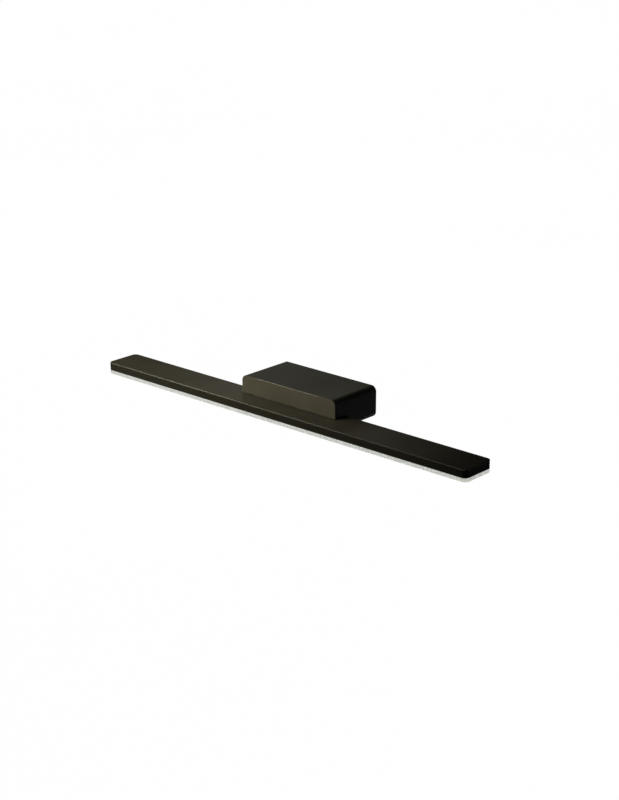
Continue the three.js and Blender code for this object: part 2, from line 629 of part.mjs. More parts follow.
function driverCase() {
  const half = DRIVER_LENGTH / 2;
  const wall = DRIVER_WALL;
  let body = block([-half, 0, 0], [half, DRIVER_DEPTH, DRIVER_HEIGHT]);
  body = body.subtract(block(
    [wall - half, wall, wall],
    [half - wall, DRIVER_DEPTH + OVERRUN, DRIVER_HEIGHT - wall],
  ));
  const earY = DRIVER_BOSS_HEIGHT;
  const earZ = DRIVER_SCREW_Z - CANOPY_INSIDE_BOTTOM_Z - DRIVER_FLOOR_GAP;
  for (const side of [-1, 1]) {
    const near = side * (half - wall / 2);
    const far = side * (half + DRIVER_EAR_LENGTH);
    body = body.add(block(
      [Math.min(near, far), earY, earZ - DRIVER_EAR_HEIGHT / 2],
      [Math.max(near, far), earY + DRIVER_EAR_THICKNESS, earZ + DRIVER_EAR_HEIGHT / 2],
    ));
    const hole = [side * driverScrewX(), earY - OVERRUN, earZ];
    body = body.subtract(rod('y', M3.radius + HOLE_GAP, hole, DRIVER_EAR_THICKNESS + 2 * OVERRUN));
  }
  for (const { side, z } of DRIVER_LEAD_HOLES) {
    const radius = (side < 0 ? MAINS_LEAD_RADIUS : LED_LEAD_RADIUS) + HOLE_GAP;
    const start = side < 0 ? -half - OVERRUN : half - wall - OVERRUN;
    body = body.subtract(rod('x', radius, [start, DRIVER_LEAD_Y, z], wall + 2 * OVERRUN));
  }
  for (const side of [-1, 1]) {
    const x = side * (half - 3 * wall);
    const post = [[x - wall, wall / 2, wall / 2], [x + wall, PCB_FRONT_Y - GAP, DRIVER_HEIGHT - wall / 2]];
    body = body.add(block(...post));
  }
  return body;
}

function driverLid() {
  const half = DRIVER_LENGTH / 2;
  const inset = DRIVER_WALL + GAP;
  const rim = DRIVER_DEPTH + GAP;
  const plate = block([-half, rim, 0], [half, rim + DRIVER_WALL, DRIVER_HEIGHT]);
  const lip = block(
    [inset - half, DRIVER_DEPTH - LID_LIP, inset],
    [half - inset, rim + DRIVER_WALL / 2, DRIVER_HEIGHT - inset],
  );
  const hollow = block(
    [inset + DRIVER_WALL - half, DRIVER_DEPTH - LID_LIP - OVERRUN, inset + DRIVER_WALL],
    [half - inset - DRIVER_WALL, rim, DRIVER_HEIGHT - inset - DRIVER_WALL],
  );
  return plate.add(lip).subtract(hollow);
}

function driverBoard() {
  const half = DRIVER_LENGTH / 2 - DRIVER_WALL - GAP;
  const edge = DRIVER_WALL + GAP;
  return block([-half, PCB_FRONT_Y, edge], [half, PCB_BACK_Y, DRIVER_HEIGHT - edge]);
}

// The transformer: a wound bobbin between the two legs of its core.
function driverTransformer() {
  const [x, y, z] = TRANSFORMER_SIZE;
  const core = block([-x / 2, 0, -z / 2], [x / 2, y, z / 2]);
  const windows = block(
    [CORE_LEG - x / 2, -OVERRUN, CORE_YOKE - z / 2],
    [x / 2 - CORE_LEG, y + OVERRUN, z / 2 - CORE_YOKE],
  );
  const radius = z / 2 - CORE_YOKE + OVERRUN;
  const bobbin = rod('y', radius, [0, BOBBIN_INSET, 0], y - 2 * BOBBIN_INSET, CAN_SIDES);
  return core.subtract(windows).add(bobbin);
}

function wireWoundChoke() {
  const outer = CHOKE_RADIUS;
  const wound = CHOKE_RADIUS - CHOKE_WAIST;
  const top = CHOKE_LENGTH - CHOKE_FLANGE;
  return turned([
    [0, 0], [outer, 0], [outer, CHOKE_FLANGE], [wound, CHOKE_FLANGE],
    [wound, top], [outer, top], [outer, CHOKE_LENGTH], [0, CHOKE_LENGTH],
  ], CAN_SIDES);
}

// A can capacitor, with the rolled groove near its foot.
function canCapacitor(radius, length) {
  const half = CAN_GROOVE / 2;
  return turned([
    [0, 0], [radius, 0], [radius, CAN_GROOVE_Z], [radius - half, CAN_GROOVE_Z + half],
    [radius, CAN_GROOVE_Z + CAN_GROOVE], [radius, length - CAN_EDGE],
    [radius - CAN_EDGE, length], [0, length],
  ], CAN_SIDES);
}

// ---- The assembly -------------------------------------------------------------------------

function finish(color, roughness, metalness) {
  return new THREE.MeshStandardMaterial({ color, roughness, metalness });
}

const black = finish(0x1e1c17, 0.42, 0.6);
const opal = finish(0xd9dcd8, 0.35, 0);
const zinc = finish(0xa9adb0, 0.4, 0.9);
const steel = finish(0x8d9092, 0.35, 1);
const brass = finish(0xb8923f, 0.35, 1);
const whiteSheet = finish(0xe9e9e4, 0.6, 0);
const boardWhite = finish(0xf1f0e8, 0.45, 0);
const rubber = finish(0x141414, 0.85, 0);
const silicone = finish(0xc9ccc9, 0.6, 0);
const whitePlastic = finish(0xe4e2da, 0.5, 0);
const circuit = finish(0x1f5a36, 0.5, 0);
const copper = finish(0x8a4a22, 0.45, 0.6);
const can = finish(0x23262b, 0.35, 0.2);
const leadBrown = finish(0x5a3318, 0.6, 0);
const leadBlue = finish(0x1d4f8c, 0.6, 0);
const leadGreen = finish(0x3f8a2e, 0.6, 0);
const leadRed = finish(0x9c1c18, 0.6, 0);
const leadBlack = finish(0x161616, 0.6, 0);

// Head directions for a fastener's rotation about X.
const HEAD_UP = 0;
const HEAD_DOWN = Math.PI;
const HEAD_TO_WALL = -Math.PI / 2;
const HEAD_TO_ROOM = Math.PI / 2;

function place(parent, name, body, material, position = [0, 0, 0], turn = 0) {
  const mesh = new THREE.Mesh(geometryOf(body), material);
  mesh.name = name;
  mesh.position.set(...position);
  mesh.rotation.x = turn;
  parent.add(mesh);
}

const lightBar = new THREE.Group();

const wallSide = new THREE.Group();
lightBar.add(wallSide);
place(wallSide, 'wall_plate', wallPlate(), zinc);
place(wallSide, 'wall_gasket', wallGasket(), rubber);
place(wallSide, 'cable_grommet', cableGrommet(), rubber, [CABLE_HOLE_X, 0, 0], HEAD_TO_ROOM);

const terminals = new THREE.Group();
terminals.position.set(BLOCK_X, -PLATE_THICKNESS - GAP, 0);
wallSide.add(terminals);
place(terminals, 'terminal_block', terminalBlock(), whitePlastic);
for (const side of [-1, 1]) {
  const name = side < 0 ? 'block_screw_left' : 'block_screw_right';
  const seat = [side * blockScrewOffset(), -BLOCK_EAR_THICKNESS - GAP, 0];
  const length = BLOCK_EAR_THICKNESS + 2 * GAP + PLATE_THICKNESS - THREAD_GAP;
  place(terminals, name, panScrew(M3, length), steel, seat, HEAD_TO_ROOM);
}
for (let pole = 0; pole < POLES; pole += 1) {
  const x = poleX(pole);
  place(terminals, `terminal_barrel_${pole + 1}`, terminalBarrel(), brass, [x, -BLOCK_DEPTH / 2, 0]);
  for (const side of [-1, 1]) {
    const name = `terminal_screw_${pole + 1}_${side < 0 ? 'lower' : 'upper'}`;
    const seat = [x, -BLOCK_DEPTH / 2 - BARREL_RADIUS - GAP, side * POLE_SCREW_SPREAD];
    const reach = side < 0 ? BARREL_RADIUS - MAINS_LEAD_RADIUS : POLE_SCREW.length;
    place(terminals, name, slottedScrew({ ...POLE_SCREW, length: reach }), steel, seat, HEAD_TO_ROOM);
  }
}

const lugY = -PLATE_THICKNESS - GAP;
place(wallSide, 'earth_lug', earthLug(), brass, [EARTH_X, lugY, EARTH_Z]);
const earthSeat = [EARTH_X, lugY - LUG_THICKNESS - GAP, EARTH_Z];
const earthLength = PLATE_THICKNESS + LUG_THICKNESS + 2 * GAP - THREAD_GAP;
place(wallSide, 'earth_screw', panScrew(M4, earthLength), brass, earthSeat, HEAD_TO_ROOM);

const canopy = new THREE.Group();
lightBar.add(canopy);
place(canopy, 'canopy_cover', canopyCover(), black);
place(canopy, 'lead_bush', leadBush(), rubber, [BUSH_X, BAR_SCREW_Y, 0]);
for (const side of [-1, 1]) {
  const name = side < 0 ? 'canopy_screw_left' : 'canopy_screw_right';
  const length = CANOPY_WALL + GAP + PLATE_THICKNESS + M4.radius;
  const seat = [side * CANOPY_SCREW_X, EAR_SCREW_Y, CANOPY_BOTTOM_Z];
  place(canopy, name, flushScrew(M4, length), black, seat, HEAD_DOWN);
}

const driver = new THREE.Group();
const driverBottomZ = CANOPY_INSIDE_BOTTOM_Z + DRIVER_FLOOR_GAP;
driver.position.set(0, STEP_INSIDE_Y + GAP, driverBottomZ);
canopy.add(driver);
place(driver, 'driver_case', driverCase(), whitePlastic);
place(driver, 'driver_lid', driverLid(), whitePlastic);
place(driver, 'driver_board', driverBoard(), circuit);
const partY = PCB_BACK_Y + GAP;
const partZ = DRIVER_HEIGHT / 2;
place(driver, 'driver_transformer', driverTransformer(), copper, [TRANSFORMER_X, partY, partZ]);
place(driver, 'driver_choke', wireWoundChoke(), copper, [CHOKE_X, partY, partZ], HEAD_TO_WALL);
const inputCan = canCapacitor(INPUT_CAP_RADIUS, INPUT_CAP_LENGTH);
place(driver, 'driver_input_capacitor', inputCan, can, [INPUT_CAP_X, partY, partZ], HEAD_TO_WALL);
const outputCan = canCapacitor(OUTPUT_CAP_RADIUS, OUTPUT_CAP_LENGTH);
place(driver, 'driver_output_capacitor', outputCan, can, [OUTPUT_CAP_X, partY, partZ], HEAD_TO_WALL);
for (const side of [-1, 1]) {
  const name = side < 0 ? 'driver_screw_left' : 'driver_screw_right';
  const headY = DRIVER_BOSS_HEIGHT + DRIVER_EAR_THICKNESS + GAP;
  const seat = [side * driverScrewX(), headY, DRIVER_SCREW_Z - driverBottomZ];
  place(driver, name, panScrew(M3, DRIVER_EAR_THICKNESS + BLIND_DEPTH), steel, seat, HEAD_TO_WALL);
}

const bar = new THREE.Group();
bar.position.set(0, BAR_CENTRE_Y, BAR_TOP_Z);
lightBar.add(bar);
place(bar, 'bar_housing', barHousing(), black);
place(bar, 'led_tray', ledTray(), whiteSheet);
place(bar, 'led_board_left', ledBoard(-1), boardWhite);
place(bar, 'led_board_right', ledBoard(1), boardWhite);
place(bar, 'board_link', boardLink(), whitePlastic);
place(bar, 'diffuser', diffuser(), opal);
place(bar, 'diffuser_seal', diffuserSeal(), silicone);
barScrewPlaces().forEach(([x, y], i) => {
  const seat = [x, y, LEDGE_INSIDE_Z + GAP - BAR_TOP_Z];
  const length = CANOPY_WALL + GAP + BLIND_DEPTH;
  place(bar, `bar_screw_${i + 1}`, panScrew(M4, length), steel, seat, HEAD_UP);
});
trayScrewPlaces().forEach(([x, y], i) => {
  const seat = [x, y, TRAY_BOTTOM_Z - GAP];
  const length = TRAY_THICKNESS + GAP + BLIND_DEPTH;
  place(bar, `tray_screw_${i + 1}`, panScrew(M3, length), steel, seat, HEAD_DOWN);
});
rivetPlaces().forEach((x, i) => {
  place(bar, `board_rivet_${i + 1}`, boardRivet(), whitePlastic, [x, 0, BOARD_BOTTOM_Z - GAP], HEAD_UP);
});

// ---- Leads: each is chosen by hand between the two ends that hold it -------------------------

const driverFaceX = DRIVER_LENGTH / 2;
const driverLeadY = STEP_INSIDE_Y + GAP + DRIVER_LEAD_Y;
const poleY = -PLATE_THICKNESS - GAP - BLOCK_DEPTH / 2;
const blockBottomZ = -BLOCK_HEIGHT / 2;
const [liveHole, neutralHole, minusHole, plusHole] = DRIVER_LEAD_HOLES.map(({ z }) => z + driverBottomZ);

function mainsLead(name, holeZ, pole, material, bow) {
  const x = BLOCK_X + poleX(pole);
  place(lightBar, name, lead([
    [3 - driverFaceX, driverLeadY, holeZ],
    [-driverFaceX, driverLeadY, holeZ],
    [-driverFaceX - 5, driverLeadY + 1, holeZ - 0.5],
    [-driverFaceX - 9, driverLeadY + 9, holeZ - 2],
    [-driverFaceX - 3, poleY - 8 - bow, blockBottomZ - 4 + bow],
    [x - 10, poleY - 3 - bow, blockBottomZ - 7.6 + bow],
    [x - 1.5, poleY - bow / 2, blockBottomZ - 6.5 + bow / 2],
    [x, poleY, blockBottomZ - 2],
    [x, poleY, blockBottomZ + 5],
  ], MAINS_LEAD_RADIUS), material);
}

mainsLead('lead_live', liveHole, 0, leadBrown, 0);
mainsLead('lead_neutral', neutralHole, 1, leadBlue, 3);

const earthPoleX = BLOCK_X + poleX(POLES - 1);
const crimpX = EARTH_X - LUG_RADIUS - LUG_CRIMP_LENGTH + OVERRUN;
place(lightBar, 'lead_earth', lead([
  [earthPoleX, poleY, blockBottomZ + 5],
  [earthPoleX, poleY, blockBottomZ - 1],
  [earthPoleX + 0.6, poleY + 0.6, blockBottomZ - 3.4],
  [earthPoleX + 2.8, poleY + 3, EARTH_Z - 0.8],
  [crimpX - 1.5, lugY - LUG_CRIMP_RADIUS, EARTH_Z],
  [crimpX + 3.5, lugY - LUG_CRIMP_RADIUS, EARTH_Z],
], MAINS_LEAD_RADIUS), leadGreen);

function ledLead(name, holeZ, side, material) {
  const x = BUSH_X + side * LED_LEAD_SPREAD;
  const padZ = BAR_TOP_Z + BOARD_BOTTOM_Z - GAP - LED_LEAD_RADIUS;
  place(lightBar, name, lead([
    [driverFaceX - 3, driverLeadY, holeZ],
    [driverFaceX, driverLeadY, holeZ],
    [driverFaceX + 4, driverLeadY - 1, holeZ + 1],
    [driverFaceX + 6 - side, driverLeadY - 8, holeZ + 5],
    [driverFaceX + 4 - side, STEP_INSIDE_Y - 1, LEDGE_INSIDE_Z + 10 - 2 * side],
    [x + 6, BAR_SCREW_Y + 3, LEDGE_INSIDE_Z + 9 - 2 * side],
    [x, BAR_SCREW_Y, LEDGE_INSIDE_Z + 5],
    [x, BAR_SCREW_Y, LEDGE_Z],
    [x, BAR_SCREW_Y, BAR_TOP_Z + TRAY_TOP_Z + 0.6],
    [x, BAR_SCREW_Y - 0.5, padZ + 0.9],
    [x, BAR_SCREW_Y - 2, padZ],
    [x, BAR_CENTRE_Y + BOARD_WIDTH / 2 - 2, padZ],
  ], LED_LEAD_RADIUS), material);
}

ledLead('lead_led_minus', minusHole, -1, leadBlack);
ledLead('lead_led_plus', plusHole, 1, leadRed);

export default lightBar;
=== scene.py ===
import math

import bmesh
import bpy
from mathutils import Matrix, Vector


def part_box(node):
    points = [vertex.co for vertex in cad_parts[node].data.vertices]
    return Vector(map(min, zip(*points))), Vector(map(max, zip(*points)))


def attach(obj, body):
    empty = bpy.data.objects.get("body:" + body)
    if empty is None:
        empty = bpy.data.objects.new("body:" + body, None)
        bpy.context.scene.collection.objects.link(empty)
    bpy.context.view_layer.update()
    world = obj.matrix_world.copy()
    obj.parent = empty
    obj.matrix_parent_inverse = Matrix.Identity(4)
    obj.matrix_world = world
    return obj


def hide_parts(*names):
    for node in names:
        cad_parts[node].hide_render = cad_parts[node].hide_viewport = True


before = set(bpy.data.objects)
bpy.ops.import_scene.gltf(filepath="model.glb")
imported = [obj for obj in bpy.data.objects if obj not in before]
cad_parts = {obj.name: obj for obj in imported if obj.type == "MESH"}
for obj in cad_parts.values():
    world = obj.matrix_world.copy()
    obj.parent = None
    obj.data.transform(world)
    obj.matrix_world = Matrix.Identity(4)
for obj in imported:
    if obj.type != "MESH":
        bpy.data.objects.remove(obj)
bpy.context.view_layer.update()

# ---- Camera ----------------------------------------------------------------------------------
# A long lens from the light's right, a little above it, so that the bar runs down to the right.
# Nothing hangs from the light: its supply comes out of the wall, so there is no cord to lay.

AZIMUTH = math.radians(41.9)
ELEVATION = math.radians(19.09)
DISTANCE = 2.224
LENS_MM = 79.9
SENSOR_MM = 36
AIM_BEHIND_FRONT = 0.047
AIM_RIGHT = 0.0152
AIM_UP = 0.0029

bar_low, bar_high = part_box("bar_housing")
back = Vector((
    math.sin(AZIMUTH) * math.cos(ELEVATION),
    -math.cos(AZIMUTH) * math.cos(ELEVATION),
    math.sin(ELEVATION),
))
right = (-back).cross(Vector((0, 0, 1))).normalized()
up = right.cross(-back)
aim = Vector((0, bar_low.y + AIM_BEHIND_FRONT, bar_high.z))

camera = bpy.data.objects.new("camera", bpy.data.cameras.new("camera"))
camera.data.lens = LENS_MM
camera.data.sensor_width = SENSOR_MM
camera.location = aim + back * DISTANCE + right * AIM_RIGHT + up * AIM_UP
camera.rotation_mode = "QUATERNION"
camera.rotation_quaternion = back.to_track_quat("Z", "Y")
bpy.context.scene.collection.objects.link(camera)
bpy.context.scene.camera = camera

# ---- Studio ------------------------------------------------------------------------------------
# A pale floor far below, as under a light on a bathroom wall, and soft lamps close to the object.
# The key hangs in front of the bar's left half, so that the light falls away to the right.


# A value that varies over a surface. Sums on it add the nodes that work them out.
class Number:
    def __init__(self, finish, socket):
        self.finish = finish
        self.socket = socket

    def _join(self, operation, first, second):
        return self.finish.node("ShaderNodeMath", {"operation": operation}, {0: first, 1: second})

    def __add__(self, other):
        return self._join("ADD", self, other)

    def __radd__(self, other):
        return self._join("ADD", other, self)

    def __sub__(self, other):
        return self._join("SUBTRACT", self, other)

    def __rsub__(self, other):
        return self._join("SUBTRACT", other, self)

    def __mul__(self, other):
        return self._join("MULTIPLY", self, other)

    def __rmul__(self, other):
        return self._join("MULTIPLY", other, self)


# One material. What is the same all over it is set on the shader's own sockets.
class Finish:
    def __init__(self, name, **constants):
        self.material = bpy.data.materials.new(name)
        self.material.use_nodes = True
        self.tree = self.material.node_tree
        self.shader = self.tree.nodes["Principled BSDF"]
        for socket, value in constants.items():
            self.shader.inputs[socket.replace("_", " ")].default_value = value
        self.place = self.node("ShaderNodeTexCoord", {}, {}, "Object")

    def node(self, kind, settings, sockets, output=0):
        made = self.tree.nodes.new(kind)
        for key, value in settings.items():
            setattr(made, key, value)
        for key, value in sockets.items():
            if isinstance(value, Number):
                self.tree.links.new(value.socket, made.inputs[key])
            else:
                made.inputs[key].default_value = value
        return Number(self, made.outputs[output])

    def drive(self, **sockets):
        for socket, value in sockets.items():
            self.tree.links.new(value.socket, self.shader.inputs[socket.replace("_", " ")])
        return self

    # Cloudy noise from 0 to 1, with a feature size in metres.
    def cloud(self, size, detail=2, stretch=(1, 1, 1)):
        where = self.node("ShaderNodeMapping", {}, {"Vector": self.place, "Scale": stretch})
        sockets = {"Vector": where, "Scale": 1 / size, "Detail": detail}
        return self.node("ShaderNodeTexNoise", {}, sockets)

    # 0 below the first value, 1 above the second, smooth between.
    def ramp(self, value, start, stop):
        sockets = {"Value": value, "From Min": start, "From Max": stop}
        return self.node("ShaderNodeMapRange", {"interpolation_type": "SMOOTHSTEP"}, sockets)

    # A place's X, Y or Z in metres, in the shared frame.
    def axis(self, letter):
        return self.node("ShaderNodeSeparateXYZ", {}, {0: self.place}, letter)

    def size_of(self, value):
        return self.node("ShaderNodeMath", {"operation": "ABSOLUTE"}, {0: value})

    # A mix of two colours, whose sockets on the node are 6 and 7, with the result at output 2.
    def blend(self, factor, first, second):
        colours = [c if isinstance(c, Number) else (*c, 1) for c in (first, second)]
        sockets = {0: factor, 6: colours[0], 7: colours[1]}
        return self.node("ShaderNodeMix", {"data_type": "RGBA"}, sockets, 2)

    def bump(self, height, depth, strength=1.0):
        sockets = {"Height": height, "Distance": depth, "Strength": strength}
        return self.node("ShaderNodeBump", {}, sockets)


FLOOR_DEPTH = 1.6
FLOOR_HALF = 60
PALE = (1.0, 1.0, 1.0)
PALE_CLOUD = (0.99, 0.99, 0.99)
FLOOR_DARK = (0.02, 0.02, 0.02)
FLOOR_DARK_CLOUD = (0.03, 0.03, 0.03)

floor_mesh = bpy.data.meshes.new("floor")
floor_corners = [
    (FLOOR_HALF * x, FLOOR_HALF * y, -FLOOR_DEPTH) for x, y in ((-1, -1), (1, -1), (1, 1), (-1, 1))
]
floor_mesh.from_pydata(floor_corners, [], [(0, 1, 2, 3)])
floor = bpy.data.objects.new("floor", floor_mesh)
bpy.context.scene.collection.objects.link(floor)
pale_floor = Finish("pale_floor", Roughness=0.9, Emission_Strength=1.0)
pale_floor.drive(
    Base_Color=pale_floor.blend(pale_floor.cloud(2.0), FLOOR_DARK, FLOOR_DARK_CLOUD),
    Emission_Color=pale_floor.blend(pale_floor.cloud(3.0), PALE, PALE_CLOUD),
)
floor_mesh.materials.append(pale_floor.material)
floor.visible_diffuse = False
floor.visible_glossy = False

SKY_LIGHT = (1.0, 0.98, 0.92)
SKY_STRENGTH = 0.012
world = bpy.data.worlds.new("studio")
bpy.context.scene.world = world
world.use_nodes = True
sky = world.node_tree.nodes
sky_shade = sky["Background"]
sky_seen = sky.new("ShaderNodeBackground")
sky_ray = sky.new("ShaderNodeLightPath")
sky_mix = sky.new("ShaderNodeMixShader")
sky_seen.inputs["Color"].default_value = (*PALE, 1)
sky_shade.inputs["Color"].default_value = (*SKY_LIGHT, 1)
sky_shade.inputs["Strength"].default_value = SKY_STRENGTH
world.node_tree.links.new(sky_ray.outputs["Is Camera Ray"], sky_mix.inputs[0])
world.node_tree.links.new(sky_shade.outputs[0], sky_mix.inputs[1])
world.node_tree.links.new(sky_seen.outputs[0], sky_mix.inputs[2])
world.node_tree.links.new(sky_mix.outputs[0], sky["World Output"].inputs["Surface"])
bpy.context.scene.view_settings.view_transform = "Standard"


def softbox(name, place, target, size, watts, colour, gloss=True):
    lamp = bpy.data.lights.new(name, "AREA")
    lamp.shape = "RECTANGLE"
    lamp.size, lamp.size_y = size
    lamp.energy = watts
    lamp.color = colour
    holder = bpy.data.objects.new(name, lamp)
    holder.location = place
    holder.rotation_mode = "QUATERNION"
    holder.rotation_quaternion = (Vector(place) - Vector(target)).to_track_quat("Z", "Y")
    holder.visible_camera = False
    holder.visible_glossy = gloss
    bpy.context.scene.collection.objects.link(holder)


WARM = (1.0, 0.97, 0.86)
COOL = (0.9, 0.97, 1.0)
softbox("key_light", (-0.18, -0.42, 0.20), (-0.11, -0.09, 0), (0.2, 0.14), 2.1, WARM, gloss=False)
softbox("edge_light", (-0.62, -0.32, 0.44), (-0.1, -0.09, 0), (0.2, 0.2), 1.3, WARM)
softbox("left_light", (-0.70, -0.54, -0.06), (-0.2, -0.1, 0), (0.15, 0.15), 0.15, WARM)
softbox("back_left_light", (-0.66, 0.62, 0.34), (0, -0.08, 0), (0.3, 0.3), 0.145, WARM)
softbox("right_light", (1.1, 0.5, 0.0), (0, -0.05, 0), (0.5, 0.5), 0.3, COOL)
softbox("wall_side_light", (-0.15, 1.3, -0.45), (0, 0, 0), (0.6, 0.5), 8, COOL)
softbox("under_light", (-0.2, -0.3, -1.3), (0, -0.08, 0), (1.0, 0.6), 5, WARM)


# ---- Wall gasket -------------------------------------------------------------------------------
# A flat ring of black rubber, cut to the canopy's outline and glued to its rim. It seals the
# canopy against the wall and evens out rough tiles.

BODY = "root"
CANOPY_CORNER = 0.0075
GASKET_RING = 0.002
GASKET_EDGE = 0.0002
CORNER_STEPS = 14
WELD = 1e-7
EDGE_SEGMENTS = 3
EDGE_ANGLE = math.radians(50)
FLAT_ANGLE = math.radians(40)
FLAT_WEIGHT = 100
RUBBER = (0.010, 0.010, 0.010)
RUBBER_DUSTY = (0.024, 0.024, 0.023)


# A rectangle with round corners about the origin, anticlockwise from its right side.
def rounded_outline(width, height, radius):
    points = []
    for turn, (sx, sy) in enumerate(((1, 1), (-1, 1), (-1, -1), (1, -1))):
        cx = sx * (width / 2 - radius)
        cy = sy * (height / 2 - radius)
        for i in range(CORNER_STEPS + 1):
            angle = math.pi / 2 * (turn + i / CORNER_STEPS)
            points.append((cx + radius * math.cos(angle), cy + radius * math.sin(angle)))
    return points


# The outline of an upright plate with round corners, moved in by inset, in the plane y.
def upright_loop(low, high, corner, inset, y):
    outline = rounded_outline(high.x - low.x - 2 * inset, high.z - low.z - 2 * inset, corner - inset)
    mid_x = (low.x + high.x) / 2
    mid_z = (low.z + high.z) / 2
    return [(x + mid_x, y, z + mid_z) for x, z in outline]


def mesh_piece(name, vertices, faces):
    mesh = bpy.data.meshes.new(name)
    mesh.from_pydata(vertices, [], faces)
    piece = bpy.data.objects.new(name, mesh)
    bpy.context.scene.collection.objects.link(piece)
    work = bmesh.new()
    work.from_mesh(mesh)
    bmesh.ops.remove_doubles(work, verts=work.verts, dist=WELD)
    bmesh.ops.recalc_face_normals(work, faces=work.faces)
    work.to_mesh(mesh)
    work.free()
    return piece


# Closed loops of equal length, each joined to the next. A ring joins the last loop to the first,
# and any other skin has its first and last loop capped.
def skin(name, loops, ring=False):
    count = len(loops[0])
    vertices = [point for loop in loops for point in loop]
    faces = []
    for k in range(len(loops) if ring else len(loops) - 1):
        a = k * count
        b = (k + 1) % len(loops) * count
        faces += [(a + i, a + (i + 1) % count, b + (i + 1) % count, b + i) for i in range(count)]
    if not ring:
        faces.append(tuple(range(count)))
        faces.append(tuple(range((len(loops) - 1) * count, len(loops) * count)))
    return mesh_piece(name, vertices, faces)


# Puts a piece's modifiers into its mesh.
def settle(piece):
    bpy.context.view_layer.update()
    solved = piece.evaluated_get(bpy.context.evaluated_depsgraph_get())
    shape = bpy.data.meshes.new_from_object(solved)
    old = piece.data
    piece.modifiers.clear()
    piece.data = shape
    bpy.data.meshes.remove(old)


# Rounds the sharp edges, then shades the piece smooth with its flats kept flat.
def soften(piece, width):
    if width:
        change = piece.modifiers.new("edges", "BEVEL")
        change.width = width
        change.segments = EDGE_SEGMENTS
        change.limit_method = "ANGLE"
        change.angle_limit = EDGE_ANGLE
        change.use_clamp_overlap = False
        settle(piece)
    piece.data.shade_smooth()
    piece.data.set_sharp_from_angle(angle=FLAT_ANGLE)
    weigh = piece.modifiers.new("normals", "WEIGHTED_NORMAL")
    weigh.keep_sharp = True
    weigh.weight = FLAT_WEIGHT
    return piece


# Gives a remade piece its finish and puts it in place of its CAD nodes.
def show(piece, finish, slot, *nodes):
    piece.data.materials.clear()
    piece.data.materials.append(finish.material)
    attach(piece, BODY)
    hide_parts(*nodes)


# Black rubber: matt, a little dusty, with a fine skin.
def black_rubber(name):
    rubber = Finish(name, Specular_IOR_Level=0.3)
    dust = rubber.cloud(0.008, detail=4)
    pores = rubber.cloud(0.0005)
    return rubber.drive(
        Base_Color=rubber.blend(dust, RUBBER, RUBBER_DUSTY),
        Roughness=0.68 + 0.16 * dust,
        Normal=rubber.bump(pores, 0.00003, 0.6),
    )


gasket_low, gasket_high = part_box("wall_gasket")
gasket = skin("gasket_ring", [
    upright_loop(gasket_low, gasket_high, CANOPY_CORNER, inset, y) for inset, y in (
        (0, gasket_low.y + GASKET_EDGE),
        (GASKET_EDGE, gasket_low.y),
        (GASKET_RING - GASKET_EDGE, gasket_low.y),
        (GASKET_RING, gasket_low.y + GASKET_EDGE),
        (GASKET_RING, gasket_high.y - GASKET_EDGE),
        (GASKET_RING - GASKET_EDGE, gasket_high.y),
        (GASKET_EDGE, gasket_high.y),
        (0, gasket_high.y - GASKET_EDGE),
    )
], ring=True)
soften(gasket, 0)
show(gasket, black_rubber("gasket_rubber"), "black_rubber", "wall_gasket")

# ---- Wall plate --------------------------------------------------------------------------------
# A pressed plate of zinc-plated steel, 1.5 mm thick. Two tabs folded at its top hold the canopy
# from inside, and two tapped ears folded at its bottom take the canopy's screws.

SHEET = 0.0015
PLATE_CORNER = 0.0055
PLATE_EDGE = 0.00012
BEND_RADIUS = 0.0023
BEND_STEPS = 8
RELIEF = 0.0006
TAB_X = 0.045
TAB_WIDTH = 0.030
TAB_DEPTH = 0.010
EAR_WIDTH = 0.014
EAR_DEPTH = 0.014
SLOT_X = 0.054
SLOT_RUN = 0.0108
SLOT_RADIUS = 0.0026
SLOT_STEPS = 28
CABLE_HOLE = 0.007
M3_TAPPED = 0.00165
M4_TAPPED = 0.00215
REACH = 0.004
TURNED_SIDES = 40


def block(name, low, high):
    (x0, y0, z0), (x1, y1, z1) = low, high
    return skin(name, [[(x0, y0, z), (x1, y0, z), (x1, y1, z), (x0, y1, z)] for z in (z0, z1)])


# A body of revolution about an upright or a level axis, from pairs of radius and distance along it.
def turned(name, profile, centre, axis="z", ring=False):
    loops = []
    for radius, along in profile:
        loop = []
        for i in range(TURNED_SIDES):
            angle = 2 * math.pi * i / TURNED_SIDES
            u = radius * math.cos(angle)
            v = radius * math.sin(angle)
            offset = (u, v, along) if axis == "z" else (u, along, v)
            loop.append(tuple(c + o for c, o in zip(centre, offset)))
        loops.append(loop)
    return skin(name, loops, ring)


# A round bar; one that is cut away leaves a hole.
def rod(axis, radius, start, length):
    return turned("rod", [(radius, 0), (radius, length)], start, axis)


def combine(piece, operation, tool):
    change = piece.modifiers.new("combine", "BOOLEAN")
    change.operation = operation
    change.solver = "EXACT"
    change.object = tool
    settle(piece)
    bpy.data.objects.remove(tool)


def middle(node):
    low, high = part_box(node)
    return (low + high) / 2


